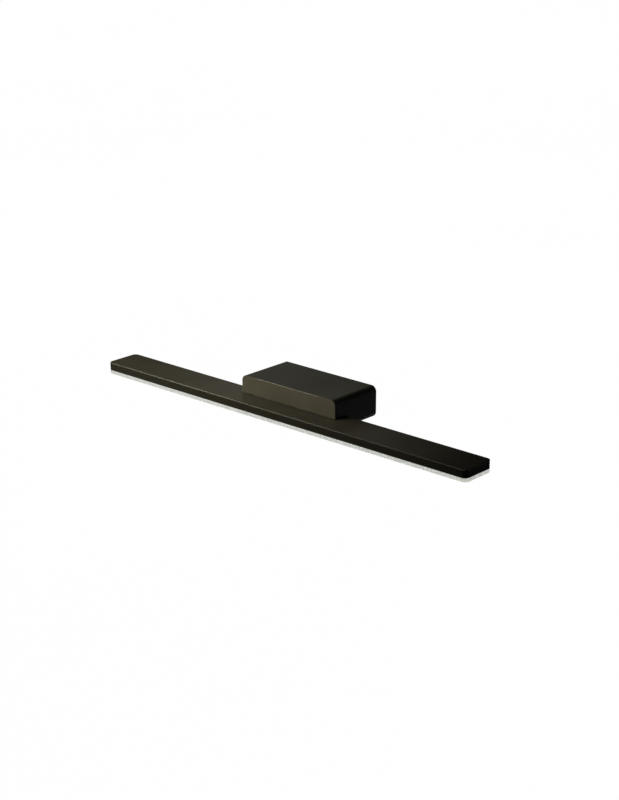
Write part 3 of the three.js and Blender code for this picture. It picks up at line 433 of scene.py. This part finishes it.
# The bent strip of a tab or an ear: along the plate, round the bend and out towards the room.
# side is 1 at the plate's top edge and -1 at its bottom edge.
def bent_strip(x, width, edge_z, side, depth):
    section = [(0, edge_z - side * (BEND_RADIUS + RELIEF))]
    for i in range(BEND_STEPS + 1):
        angle = math.pi / 2 * i / BEND_STEPS
        y = -BEND_RADIUS + BEND_RADIUS * math.cos(angle)
        section.append((y, edge_z - side * BEND_RADIUS * (1 - math.sin(angle))))
    section += [(-depth, edge_z), (-depth, edge_z - side * SHEET)]
    inner = BEND_RADIUS - SHEET
    for i in range(BEND_STEPS + 1):
        angle = math.pi / 2 * (1 - i / BEND_STEPS)
        y = -BEND_RADIUS + inner * math.cos(angle)
        section.append((y, edge_z - side * (BEND_RADIUS - inner * math.sin(angle))))
    section.append((-SHEET, edge_z - side * (BEND_RADIUS + RELIEF)))
    ends = (x - width / 2, x + width / 2)
    return skin("strip", [[(end, y, z) for y, z in section] for end in ends])


plate_low, plate_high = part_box("wall_plate")
plate = skin("mounting_plate", [
    upright_loop(plate_low, plate_high, PLATE_CORNER, 0, y)
    for y in (plate_high.y - SHEET, plate_high.y)
])
CANOPY_SCREWS = ("canopy_screw_left", "canopy_screw_right")
folds = [(side * TAB_X, TAB_WIDTH, plate_high.z, 1, TAB_DEPTH) for side in (-1, 1)]
for screw in CANOPY_SCREWS:
    folds.append((middle(screw).x, EAR_WIDTH, plate_low.z, -1, EAR_DEPTH))
for x, width, edge_z, side, depth in folds:
    half = width / 2 + RELIEF
    foot, top = sorted((edge_z - side * (BEND_RADIUS + RELIEF / 2), edge_z + side * REACH))
    combine(plate, "DIFFERENCE", block("notch", (x - half, -REACH, foot), (x + half, REACH, top)))
    combine(plate, "UNION", bent_strip(x, width, edge_z, side, depth))
for screw in CANOPY_SCREWS:
    spot = middle(screw)
    start = (spot.x, spot.y, plate_low.z - REACH)
    combine(plate, "DIFFERENCE", rod("z", M4_TAPPED, start, 2 * REACH))
for node, radius in (
    ("cable_grommet", CABLE_HOLE), ("earth_screw", M4_TAPPED),
    ("block_screw_left", M3_TAPPED), ("block_screw_right", M3_TAPPED),
):
    spot = middle(node)
    combine(plate, "DIFFERENCE", rod("y", radius, (spot.x, -REACH, spot.z), 2 * REACH))
for slot_x in (-SLOT_X, SLOT_X):
    outline = []
    for i in range(SLOT_STEPS):
        angle = 2 * math.pi * (i + 0.5) / SLOT_STEPS
        end_x = slot_x + math.copysign(SLOT_RUN / 2, math.cos(angle))
        outline.append((end_x + SLOT_RADIUS * math.cos(angle), SLOT_RADIUS * math.sin(angle)))
    slot = skin("slot", [[(x, y, z) for x, z in outline] for y in (-REACH, REACH)])
    combine(plate, "DIFFERENCE", slot)
soften(plate, PLATE_EDGE)

ZINC = (0.62, 0.64, 0.66)
ZINC_PALE = (0.80, 0.81, 0.80)
zinc = Finish("zinc_plate", Metallic=0.6)
rolled = zinc.cloud(0.004, detail=4, stretch=(0.15, 1, 1))
stains = zinc.cloud(0.018, detail=3)
zinc.drive(
    Base_Color=zinc.blend(zinc.ramp(stains, 0.35, 0.7), ZINC, ZINC_PALE),
    Roughness=0.42 + 0.14 * rolled + 0.10 * stains,
    Normal=zinc.bump(rolled, 0.00002, 0.5),
)
show(plate, zinc, "zinc_steel", "wall_plate")

# ---- Cable grommet -----------------------------------------------------------------------------
# A black rubber ring pressed into the plate's cable hole, with its lip on the room side. It keeps
# the supply cable off the sheet's cut edge.

GROMMET_BORE = 0.0045
GROMMET_NECK = 0.0067
GROMMET_LIP = 0.009
GROMMET_LIP_Y = -0.0018
GROMMET_ROUND = 0.0004

grommet_low, grommet_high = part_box("cable_grommet")
spot = middle("cable_grommet")
grommet = turned("grommet_ring", [
    (GROMMET_BORE, grommet_high.y - GROMMET_ROUND),
    (GROMMET_BORE + GROMMET_ROUND, grommet_high.y),
    (GROMMET_NECK - GROMMET_ROUND / 2, grommet_high.y),
    (GROMMET_NECK, grommet_high.y - GROMMET_ROUND / 2),
    (GROMMET_NECK, GROMMET_LIP_Y),
    (GROMMET_LIP - GROMMET_ROUND / 2, GROMMET_LIP_Y),
    (GROMMET_LIP, GROMMET_LIP_Y - GROMMET_ROUND / 2),
    (GROMMET_LIP, grommet_low.y + GROMMET_ROUND),
    (GROMMET_LIP - GROMMET_ROUND, grommet_low.y),
    (GROMMET_BORE + GROMMET_ROUND, grommet_low.y),
    (GROMMET_BORE, grommet_low.y + GROMMET_ROUND),
], (spot.x, 0, spot.z), "y", ring=True)
soften(grommet, 0)
show(grommet, black_rubber("grommet_rubber"), "black_rubber", "cable_grommet")

# ---- Terminal block ----------------------------------------------------------------------------
# Three brass clamps in a moulded white body, screwed to the plate's left. The supply and the
# driver's leads meet in it: live, neutral and earth.

POLES = (1, 2, 3)


# A CAD solid whose shape is right keeps it, and gets its finish here.
def dress(finish, *nodes):
    for node in nodes:
        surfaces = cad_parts[node].data.materials
        surfaces.clear()
        surfaces.append(finish.material)


# Moulded white plastic: glossy, slightly yellowed in patches, with a fine moulded grain.
def white_plastic(name, light):
    plastic = Finish(name, IOR=1.53)
    patch = plastic.cloud(0.012)
    grain = plastic.cloud(0.0006, detail=3)
    return plastic.drive(
        Base_Color=plastic.blend(patch, light, tuple(0.9 * c for c in light)),
        Roughness=0.38 + 0.12 * grain + 0.05 * patch,
        Normal=plastic.bump(grain, 0.00002, 0.5),
    )


# Turned or stamped bare metal: fine turning lines and a few dull stains.
def turned_metal(name, bright, dull, roughness):
    metal = Finish(name, Metallic=1.0)
    stain = metal.cloud(0.003, detail=3)
    lines = metal.cloud(0.0004, stretch=(1, 1, 6))
    return metal.drive(
        Base_Color=metal.blend(metal.ramp(stain, 0.4, 0.75), bright, dull),
        Roughness=roughness + 0.14 * stain + 0.05 * lines,
        Normal=metal.bump(lines, 0.00001, 0.5),
    )


TERMINAL_WHITE = (0.78, 0.77, 0.72)
BRASS = (0.72, 0.52, 0.22)
BRASS_DULL = (0.50, 0.36, 0.17)
STEEL = (0.56, 0.57, 0.58)
STEEL_DULL = (0.36, 0.36, 0.37)
screw_steel = turned_metal("screw_steel", STEEL, STEEL_DULL, 0.24)
dress(white_plastic("terminal_plastic", TERMINAL_WHITE), "terminal_block")
terminal_brass = turned_metal("terminal_brass", BRASS, BRASS_DULL, 0.26)
for i in POLES:
    dress(terminal_brass, f"terminal_barrel_{i}")
    dress(screw_steel, f"terminal_screw_{i}_lower", f"terminal_screw_{i}_upper")
dress(screw_steel, "block_screw_left", "block_screw_right")

# ---- Earth terminal ----------------------------------------------------------------------------
# A brass ring lug, crimped on the earth lead and held to the plate by a brass screw in its tapped
# hole, so that the metal plate and canopy are earthed.

dress(turned_metal("earth_brass", BRASS, BRASS_DULL, 0.30), "earth_lug", "earth_screw")

# ---- Canopy cover ------------------------------------------------------------------------------
# A stepped, five-sided shell of pressed steel, 2 mm thick, open to the wall, powder-coated satin
# black with a warm bronze cast. It hooks over the wall plate and two screws hold it from below.

CANOPY_WALL = 0.002
CANOPY_EDGE = 0.0007
STEP_GAP = 0.0003
OVERRUN = 0.02
BUSH_HOLE = 0.0045
M4_CLEARANCE = 0.0023
SINK_MOUTH = 0.00405
BOSS_RADIUS = 0.0035
BOSS_HEIGHT = 0.004

canopy_low, canopy_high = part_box("canopy_cover")
step_y = bar_high.y + STEP_GAP
ledge_z = bar_high.z + STEP_GAP


# The canopy's outline moved in by inset, without the room that the bar takes.
def stepped_body(name, inset, rear_y):
    body = skin(name, [
        upright_loop(canopy_low, canopy_high, CANOPY_CORNER, inset, y)
        for y in (canopy_low.y + inset, rear_y)
    ])
    step_low = (canopy_low.x - OVERRUN, canopy_low.y - OVERRUN, canopy_low.z - OVERRUN)
    step_high = (canopy_high.x + OVERRUN, step_y + inset, ledge_z + inset)
    combine(body, "DIFFERENCE", block("step", step_low, step_high))
    return body


# Satin powder coat: a fine even grain, faint clouds in tone and sheen, and a very soft orange peel.
# Three masks put on a painted shade, a painted drift in tone along the piece, and a painted edge
# highlight.
def powder_coat(name, tones, shade, shaded, painted_drift, painted_drift_tone, roughness, sheen, edge, painted_highlight):
    coat = Finish(name, Specular_IOR_Level=sheen)
    cloud = coat.cloud(0.06)
    grain = coat.cloud(0.0011, detail=3)
    tone = coat.blend(coat.ramp(0.7 * cloud + 0.3 * grain, 0.3, 0.7), *tones)
    # Painted shade and painted light: the shade mask darkens the tone, and the drift mask shifts it
    # by place.
    tone_with_painted_light = coat.blend(painted_drift(coat), coat.blend(shade(coat), tone, shaded), painted_drift_tone)
    # The edge mask carries a painted highlight and a smoother coat along the edge.
    highlight_and_polish = edge(coat)
    relief = (grain + 0.6 * coat.cloud(0.0045) - 0.8) * (1 - highlight_and_polish)
    return coat.drive(
        Base_Color=coat.blend(highlight_and_polish, tone_with_painted_light, painted_highlight),
        Roughness=roughness - 0.04 + 0.06 * cloud + 0.03 * grain - 0.14 * highlight_and_polish,
        Normal=coat.bump(relief, 0.00002, 0.5),
    )


canopy = stepped_body("canopy_shell", 0, canopy_high.y)
combine(canopy, "DIFFERENCE", stepped_body("inside", CANOPY_WALL, canopy_high.y + OVERRUN))
BAR_SCREWS = [f"bar_screw_{i}" for i in (1, 2, 3, 4)]
ledge_holes = [(screw, M4_CLEARANCE) for screw in BAR_SCREWS] + [("lead_bush", BUSH_HOLE)]
for node, radius in ledge_holes:
    spot = middle(node)
    start = (spot.x, spot.y, ledge_z - REACH)
    combine(canopy, "DIFFERENCE", rod("z", radius, start, 2 * REACH))
for node in ("driver_screw_left", "driver_screw_right"):
    spot = middle(node)
    foot = (spot.x, step_y + CANOPY_WALL / 2, spot.z)
    start = (spot.x, step_y + CANOPY_WALL, spot.z)
    combine(canopy, "UNION", rod("y", BOSS_RADIUS, foot, CANOPY_WALL / 2 + BOSS_HEIGHT))
    combine(canopy, "DIFFERENCE", rod("y", M3_TAPPED, start, 2 * REACH))
for screw in CANOPY_SCREWS:
    spot = middle(screw)
    sink = turned("sink", [
        (SINK_MOUTH, -REACH),
        (SINK_MOUTH, 0),
        (M4_CLEARANCE, SINK_MOUTH - M4_CLEARANCE),
        (M4_CLEARANCE, REACH),
    ], (spot.x, spot.y, canopy_low.z))
    combine(canopy, "DIFFERENCE", sink)
soften(canopy, CANOPY_EDGE)

# Painted light and shade: the front face takes the lit tones, and the top and sides behind it take a
# painted darker shade.
CANOPY_LIT_FRONT = ((0.055, 0.050, 0.035), (0.072, 0.066, 0.048))
CANOPY_PAINTED_SHADE = (0.026, 0.026, 0.0195)
# Painted light: the tone that the top and sides take towards the canopy's right end.
CANOPY_PAINTED_LIGHT_RIGHT = (0.044, 0.044, 0.035)
# The colour of the painted highlight on the front's top edge.
CANOPY_PAINTED_HIGHLIGHT = (0.17, 0.163, 0.135)
FRONT_ENDS = 0.0002
REAR_STARTS = 0.0012
RIGHT_STARTS = 0.015
RIGHT_FULL = 0.065
HIGHLIGHT_HALF = 0.045
HIGHLIGHT_FADE = 0.012
HIGHLIGHT_FLAT = 0.00002
HIGHLIGHT_FULL = 0.0001
HIGHLIGHT_ABOVE_BAR = 0.01
HIGHLIGHT_BELOW_TOP = 0.004


# Painted shade: 1 behind the front face, where the top and sides take the darker tone.
def painted_shade_behind_front(coat):
    return coat.ramp(coat.axis("Y"), canopy_low.y + FRONT_ENDS, canopy_low.y + REAR_STARTS)


# Painted light: the top and sides behind the front grow lighter towards the right end.
def painted_light_towards_right(coat):
    return 0.7 * painted_shade_behind_front(coat) * coat.ramp(coat.axis("X"), RIGHT_STARTS, RIGHT_FULL)


# A painted highlight along the middle of the front's top edge, where the coat is also made smoother.
def front_edge_highlight(coat):
    depth = coat.axis("Y")
    across = coat.axis("X")
    start = canopy_low.y
    rising = coat.ramp(depth, start + HIGHLIGHT_FLAT, start + HIGHLIGHT_FULL)
    falling = 1 - coat.ramp(depth, start + 0.8 * CANOPY_EDGE, start + 1.2 * CANOPY_EDGE)
    from_left = coat.ramp(across, -HIGHLIGHT_HALF - HIGHLIGHT_FADE, -HIGHLIGHT_HALF)
    to_right = 1 - coat.ramp(across, HIGHLIGHT_HALF, HIGHLIGHT_HALF + HIGHLIGHT_FADE)
    high_up = coat.ramp(coat.axis("Z"), bar_high.z + HIGHLIGHT_ABOVE_BAR, canopy_high.z - HIGHLIGHT_BELOW_TOP)
    return rising * falling * from_left * to_right * high_up


canopy_coat = powder_coat(
    "canopy_powder_coat",
    tones=CANOPY_LIT_FRONT,
    shade=painted_shade_behind_front,
    shaded=CANOPY_PAINTED_SHADE,
    painted_drift=painted_light_towards_right,
    painted_drift_tone=CANOPY_PAINTED_LIGHT_RIGHT,
    roughness=0.48,
    sheen=0.4,
    edge=front_edge_highlight,
    painted_highlight=CANOPY_PAINTED_HIGHLIGHT,
)
show(canopy, canopy_coat, "satin_black", "canopy_cover")

# ---- Canopy screws -----------------------------------------------------------------------------
# Two countersunk M4 screws with a cross recess, blackened to match. They go up through the
# canopy's underside into the plate's tapped ears.

M4_RADIUS = 0.002
SINK_HEAD = 0.00375
RECESS_REACH = 0.0021
RECESS_WING = 0.00045
RECESS_DEPTH = 0.0013
SCREW_POINT = 0.0004
BLACK_OXIDE = (0.050, 0.050, 0.052)
BLACK_OXIDE_DULL = (0.025, 0.024, 0.023)

for node in CANOPY_SCREWS:
    screw_low, screw_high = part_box(node)
    spot = middle(node)
    tall = screw_high.z - screw_low.z
    screw = turned(node + "_shown", [
        (SINK_HEAD, 0), (M4_RADIUS, SINK_HEAD - M4_RADIUS),
        (M4_RADIUS, tall - SCREW_POINT), (M4_RADIUS - SCREW_POINT, tall),
    ], (spot.x, spot.y, screw_low.z))
    for reach_x, reach_y in ((RECESS_REACH, RECESS_WING), (RECESS_WING, RECESS_REACH)):
        wing_low = (spot.x - reach_x, spot.y - reach_y, screw_low.z - REACH)
        wing_high = (spot.x + reach_x, spot.y + reach_y, screw_low.z + RECESS_DEPTH)
        combine(screw, "DIFFERENCE", block("wing", wing_low, wing_high))
    soften(screw, PLATE_EDGE / 2)
    black_steel = turned_metal(node + "_oxide", BLACK_OXIDE, BLACK_OXIDE_DULL, 0.34)
    show(screw, black_steel, "satin_black", node)

# ---- Lead bush ---------------------------------------------------------------------------------
# A black rubber bush pressed into the canopy's ledge. The two low-voltage leads go down through
# it to the bar, clear of the hole's cut edge.

dress(black_rubber("bush_rubber"), "lead_bush")

# ---- LED driver --------------------------------------------------------------------------------
# A sealed power supply in the canopy's rear half: a moulded case and lid, a green circuit board,
# and the wound parts and cans that stand on it. An ear and a screw at each end hold it.

DRIVER_WHITE = (0.76, 0.75, 0.70)
SOLDER_MASK = (0.030, 0.150, 0.070)
SOLDER_MASK_DARK = (0.018, 0.100, 0.048)
FERRITE = (0.040, 0.038, 0.037)
FERRITE_GREY = (0.055, 0.052, 0.05)
TAPE = (0.72, 0.50, 0.10)
TAPE_HALF = 0.0078
TAPE_EDGE = 0.0002
COPPER = (0.62, 0.27, 0.12)
COPPER_DARK = (0.42, 0.16, 0.07)
SLEEVE = (0.020, 0.032, 0.060)
SLEEVE_PALE = (0.03, 0.045, 0.08)
CAN_TOP = (0.62, 0.62, 0.63)
CAN_TOP_DEPTH = 0.0006
WINDING_PITCH = 0.0009
WAVE_LENGTH = 0.3

dress(white_plastic("driver_plastic", DRIVER_WHITE), "driver_case", "driver_lid")
dress(screw_steel, "driver_screw_left", "driver_screw_right")

circuit = Finish("circuit_board", IOR=1.5)
tracks = circuit.ramp(circuit.cloud(0.0022, stretch=(0.3, 1, 1)), 0.48, 0.52)
circuit.drive(
    Base_Color=circuit.blend(tracks, SOLDER_MASK, SOLDER_MASK_DARK),
    Roughness=0.30 + 0.15 * tracks,
    Normal=circuit.bump(tracks, 0.00004, 0.6),
)
dress(circuit, "driver_board")

spot = middle("driver_transformer")
core = Finish("ferrite_and_tape")
from_middle = core.size_of(core.axis("X") - spot.x)
wrapped = 1 - core.ramp(from_middle, TAPE_HALF, TAPE_HALF + TAPE_EDGE)
wrap_grain = core.cloud(0.0008, stretch=(1, 6, 1))
core.drive(
    Base_Color=core.blend(wrapped, core.blend(wrap_grain, FERRITE, FERRITE_GREY), TAPE),
    Roughness=0.62 - 0.34 * wrapped + 0.06 * wrap_grain,
)
dress(core, "driver_transformer")

winding = Finish("enamelled_winding", Metallic=0.6)
wave_sockets = {"Vector": winding.place, "Scale": WAVE_LENGTH / WINDING_PITCH}
turns = winding.node("ShaderNodeTexWave", {"bands_direction": "Y"}, wave_sockets)
winding.drive(
    Base_Color=winding.blend(turns, COPPER_DARK, COPPER),
    Roughness=0.34 + 0.1 * winding.cloud(0.002),
    Normal=winding.bump(turns, 0.0002, 0.7),
)
dress(winding, "driver_choke")

for node in ("driver_input_capacitor", "driver_output_capacitor"):
    can_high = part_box(node)[1]
    can = Finish(node + "_sleeve", IOR=1.5)
    bare = can.ramp(can.axis("Y"), can_high.y - CAN_TOP_DEPTH, can_high.y - CAN_TOP_DEPTH / 2)
    fading = can.cloud(0.003)
    can.drive(
        Base_Color=can.blend(bare, can.blend(fading, SLEEVE, SLEEVE_PALE), CAN_TOP),
        Roughness=0.3 + 0.1 * fading,
        Metallic=bare,
    )
    dress(can, node)

# ---- Bar housing -------------------------------------------------------------------------------
# A flat aluminium channel 600 mm long, open below, with round corners in plan and a softly
# rounded top edge. It is powder-coated like the canopy; its sides are painted a deeper shade,
# its right end is painted darker, and a painted highlight runs along its top edge.

BAR_CORNER = 0.007
HOUSING_WALL = 0.0024
HOUSING_WEB = 0.002
HOUSING_EDGE = 0.0012
HOUSING_RIM = 0.0002
EDGE_STEPS = 6
SCREW_BOSS_RADIUS = 0.004
SCREW_BOSS_HEIGHT = 0.003
BLIND_DEPTH = 0.0042
LEAD_HOLE = 0.0035
CORNER_LEAST = 0.001


# The bar's plan outline moved in by inset, at a height.
def bar_loop(inset, z):
    length = bar_high.x - bar_low.x - 2 * inset
    width = bar_high.y - bar_low.y - 2 * inset
    outline = rounded_outline(length, width, max(BAR_CORNER - inset, CORNER_LEAST))
    mid_x = (bar_low.x + bar_high.x) / 2
    mid_y = (bar_low.y + bar_high.y) / 2
    return [(x + mid_x, y + mid_y, z) for x, y in outline]


# The loops of a rounded edge that ends in a flat at height z; side is 1 at a top, -1 at a bottom.
def round_edge(radius, z, side):
    loops = []
    for i in range(EDGE_STEPS + 1):
        angle = math.pi / 2 * i / EDGE_STEPS
        drop = radius * (1 - math.sin(angle))
        loops.append(bar_loop(radius * (1 - math.cos(angle)), z - side * drop))
    return loops


housing = skin("bar_channel", [
    bar_loop(HOUSING_WALL, bar_high.z - HOUSING_WEB),
    bar_loop(HOUSING_WALL, bar_low.z + HOUSING_RIM),
    bar_loop(HOUSING_WALL - HOUSING_RIM, bar_low.z),
    bar_loop(HOUSING_RIM, bar_low.z),
    bar_loop(0, bar_low.z + HOUSING_RIM),
    *round_edge(HOUSING_EDGE, bar_high.z, 1),
])
TRAY_SCREWS = [f"tray_screw_{i}" for i in (1, 2, 3, 4)]
boss_z = bar_high.z - HOUSING_WEB - SCREW_BOSS_HEIGHT
boss_height = SCREW_BOSS_HEIGHT + HOUSING_WEB / 2
for node in BAR_SCREWS + TRAY_SCREWS:
    spot = middle(node)
    combine(housing, "UNION", rod("z", SCREW_BOSS_RADIUS, (spot.x, spot.y, boss_z), boss_height))
for node in BAR_SCREWS:
    spot = middle(node)
    start = (spot.x, spot.y, bar_high.z - BLIND_DEPTH)
    combine(housing, "DIFFERENCE", rod("z", M4_TAPPED, start, 2 * REACH))
for node in TRAY_SCREWS:
    spot = middle(node)
    start = (spot.x, spot.y, boss_z - REACH)
    combine(housing, "DIFFERENCE", rod("z", M3_TAPPED, start, REACH + BLIND_DEPTH))
spot = middle("lead_bush")
start = (spot.x, spot.y, bar_high.z - REACH)
combine(housing, "DIFFERENCE", rod("z", LEAD_HOLE, start, 2 * REACH))
soften(housing, 0)

BAR_TOP = ((0.035, 0.032, 0.022), (0.049, 0.045, 0.032))
# Painted shade on the bar's sides, below the rounded top edge.
BAR_SIDE_PAINTED_SHADE = (0.016, 0.015, 0.010)
# Painted shade towards the bar's right end.
BAR_RIGHT_PAINTED_SHADE = (0.007, 0.007, 0.006)
# The colour of the painted highlight along the bar's top edge.
BAR_PAINTED_HIGHLIGHT = (0.066, 0.063, 0.050)
END_FADE = 0.10


# Painted shade: 1 on the sides below the rounded top edge.
def painted_shade_below_edge(coat):
    top = bar_high.z
    return 1 - coat.ramp(coat.axis("Z"), top - 1.2 * HOUSING_EDGE, top - 0.5 * HOUSING_EDGE)


# Painted shade: darker over the last stretch of the bar towards its right end.
def painted_shade_right_end(coat):
    return 0.7 * coat.ramp(coat.axis("X"), bar_high.x - END_FADE, bar_high.x)


# A painted highlight along the rounded top edge, where the coat is also smoother.
def top_edge_highlight(coat):
    height = coat.axis("Z")
    top = bar_high.z
    rising = coat.ramp(height, top - HOUSING_EDGE, top - 0.9 * HOUSING_EDGE)
    return rising * (1 - coat.ramp(height, top - HIGHLIGHT_FULL, top - HIGHLIGHT_FLAT))


bar_coat = powder_coat(
    "bar_powder_coat",
    tones=BAR_TOP,
    shade=painted_shade_below_edge,
    shaded=BAR_SIDE_PAINTED_SHADE,
    painted_drift=painted_shade_right_end,
    painted_drift_tone=BAR_RIGHT_PAINTED_SHADE,
    roughness=0.42,
    sheen=0.35,
    edge=top_edge_highlight,
    painted_highlight=BAR_PAINTED_HIGHLIGHT,
)
show(housing, bar_coat, "satin_black", "bar_housing")

# ---- LED tray ----------------------------------------------------------------------------------
# A white-enamelled steel sheet screwed up into the channel. It carries the boards, takes their
# heat and throws their light down.

ENAMEL = (0.84, 0.84, 0.82)
ENAMEL_GREY = (0.78, 0.78, 0.75)
enamel = Finish("white_enamel", IOR=1.52)
wave = enamel.cloud(0.009)
enamel.drive(
    Base_Color=enamel.blend(wave, ENAMEL, ENAMEL_GREY),
    Roughness=0.30 + 0.12 * wave,
    Normal=enamel.bump(enamel.cloud(0.0016), 0.00002, 0.4),
)
dress(enamel, "led_tray")
dress(screw_steel, *TRAY_SCREWS)

# ---- LED boards --------------------------------------------------------------------------------
# Two long white boards, each with two rows of small yellow-faced LEDs, joined in the middle by a
# plug-in link and held to the tray by nylon push rivets.

LED_DEPTH = 0.0007
PHOSPHOR = (0.80, 0.58, 0.12)
BOARD_WHITE = (0.82, 0.82, 0.78)
BOARD_GREY = (0.75, 0.76, 0.72)
NYLON = (0.80, 0.79, 0.74)
board_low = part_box("led_board_left")[0]
led_z = board_low.z + LED_DEPTH / 2
led_board = Finish("led_board_white", IOR=1.5)
lit_face = 1 - led_board.ramp(led_board.axis("Z"), led_z - LED_DEPTH / 4, led_z)
board_wave = led_board.cloud(0.004)
mask_white = led_board.blend(board_wave, BOARD_WHITE, BOARD_GREY)
led_board.drive(
    Base_Color=led_board.blend(lit_face, mask_white, PHOSPHOR),
    Roughness=0.36 + 0.12 * board_wave,
    Normal=led_board.bump(led_board.cloud(0.0012), 0.00002, 0.4),
)
dress(led_board, "led_board_left", "led_board_right")
nylon = white_plastic("white_nylon", NYLON)
dress(nylon, "board_link", *[f"board_rivet_{i}" for i in (1, 2, 3, 4)])

# ---- Diffuser ----------------------------------------------------------------------------------
# A milled opal acrylic plate, with a shoulder that meets the housing's rim and a tongue that
# stands inside it. Small cloudy dots in it spread the light, and its edge glows as a pale band.

SHOULDER_GAP = 0.0003
TONGUE_INSET = 0.0027
TONGUE_WALL = 0.0014
DIFFUSER_FLOOR = 0.003
DIFFUSER_EDGE = 0.0006
DIFFUSER_RIM = 0.0001
GROOVE_OUT = 0.0007
GROOVE_IN = 0.0023
GROOVE_DEPTH = 0.0009

glass_low, glass_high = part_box("diffuser")
shoulder_z = bar_low.z - SHOULDER_GAP
diffuser = skin("diffuser_plate", [
    bar_loop(TONGUE_INSET + TONGUE_WALL, glass_low.z + DIFFUSER_FLOOR),
    bar_loop(TONGUE_INSET + TONGUE_WALL, glass_high.z),
    bar_loop(TONGUE_INSET, glass_high.z),
    bar_loop(TONGUE_INSET, shoulder_z),
    bar_loop(GROOVE_IN, shoulder_z),
    bar_loop(GROOVE_IN, shoulder_z - GROOVE_DEPTH),
    bar_loop(GROOVE_OUT, shoulder_z - GROOVE_DEPTH),
    bar_loop(GROOVE_OUT, shoulder_z),
    bar_loop(DIFFUSER_RIM, shoulder_z),
    bar_loop(0, shoulder_z - DIFFUSER_RIM),
    *round_edge(DIFFUSER_EDGE, glass_low.z, -1),
])
soften(diffuser, 0)

DOT_PITCH = 0.0021
OPAL_GLOW = (0.83, 0.84, 0.81)
OPAL_BRIGHT = (0.92, 0.93, 0.90)
OPAL_SHADE = (0.52, 0.54, 0.50)
OPAL_CORNER = (0.88, 0.93, 0.71)
OPAL = (0.11, 0.11, 0.105)
OPAL_HAZY = (0.09, 0.09, 0.085)
BRIGHT_STARTS = -0.10
BRIGHT_FULL = 0.25
CORNER_STARTS = 0.020
CORNER_FULL = 0.004

# The plate's glow is painted into its emission, standing in for the light of the LEDs, which give
# none here; the painted glow rises towards the right end and turns yellow-green towards the near
# right corner.
opal = Finish("opal_acrylic", IOR=1.49, Emission_Strength=0.72)
dot_sockets = {"Vector": opal.place, "Scale": 1 / DOT_PITCH, "Randomness": 1.0}
dots = opal.ramp(opal.node("ShaderNodeTexVoronoi", {}, dot_sockets), 0.30, 0.60)
haze = opal.cloud(0.02)
lit = opal.blend(opal.ramp(opal.axis("X"), BRIGHT_STARTS, BRIGHT_FULL), OPAL_GLOW, OPAL_BRIGHT)
tip = bar_high.x - bar_low.y
corner_tint = opal.ramp(opal.axis("X") - opal.axis("Y"), tip - CORNER_STARTS, tip - CORNER_FULL)
clear = opal.blend(0.6 * corner_tint, lit, OPAL_CORNER)
opal.drive(
    Base_Color=opal.blend(haze, OPAL, OPAL_HAZY),
    Roughness=0.34 + 0.12 * dots + 0.05 * haze,
    Emission_Color=opal.blend(0.70 * dots + 0.10 * haze, clear, OPAL_SHADE),
    Normal=opal.bump(dots, 0.00003, 0.4),
)
show(diffuser, opal, "opal_acrylic", "diffuser")

# ---- Diffuser seal -----------------------------------------------------------------------------
# A thin cord of clear silicone laid in the groove of the diffuser's shoulder and squeezed by the
# housing's rim. It keeps damp and insects out of the bar.

SILICONE = (0.56, 0.57, 0.56)
SILICONE_GREY = (0.46, 0.47, 0.46)
seal_rubber = Finish("clear_silicone", IOR=1.41, Specular_IOR_Level=0.4)
milky = seal_rubber.cloud(0.004)
seal_rubber.drive(
    Base_Color=seal_rubber.blend(milky, SILICONE, SILICONE_GREY),
    Roughness=0.42 + 0.15 * milky,
    Normal=seal_rubber.bump(milky, 0.00003, 0.4),
)
dress(seal_rubber, "diffuser_seal")

# ---- Bar screws --------------------------------------------------------------------------------
# Four M4 pan head screws of plated steel. They go down through the canopy's ledge into the bar's
# bosses and hold the bar up against the ledge.

dress(screw_steel, *BAR_SCREWS)

# ---- Leads -------------------------------------------------------------------------------------
# PVC-insulated leads, two of mains voltage and one of earth at the block, two of low voltage down
# to the boards. The earth lead is green with a yellow stripe along it.

LEAD_COLOURS = {
    "lead_live": (0.110, 0.042, 0.016),
    "lead_neutral": (0.020, 0.085, 0.300),
    "lead_earth": (0.050, 0.270, 0.035),
    "lead_led_minus": (0.012, 0.012, 0.012),
    "lead_led_plus": (0.400, 0.018, 0.014),
}
EARTH_STRIPE = (0.72, 0.58, 0.03)

for node, colour in LEAD_COLOURS.items():
    pvc = Finish(node + "_pvc", IOR=1.52)
    scuff = pvc.cloud(0.003, detail=3)
    tint = pvc.blend(scuff, colour, tuple(0.75 * c for c in colour))
    if node == "lead_earth":
        facing = pvc.node("ShaderNodeTexCoord", {}, {}, "Normal")
        stripe = pvc.ramp(pvc.node("ShaderNodeSeparateXYZ", {}, {0: facing}, "Y"), 0.30, 0.36)
        tint = pvc.blend(stripe, tint, EARTH_STRIPE)
    pvc.drive(
        Base_Color=tint,
        Roughness=0.38 + 0.16 * scuff,
        Normal=pvc.bump(scuff, 0.00003, 0.3),
    )
    dress(pvc, node)
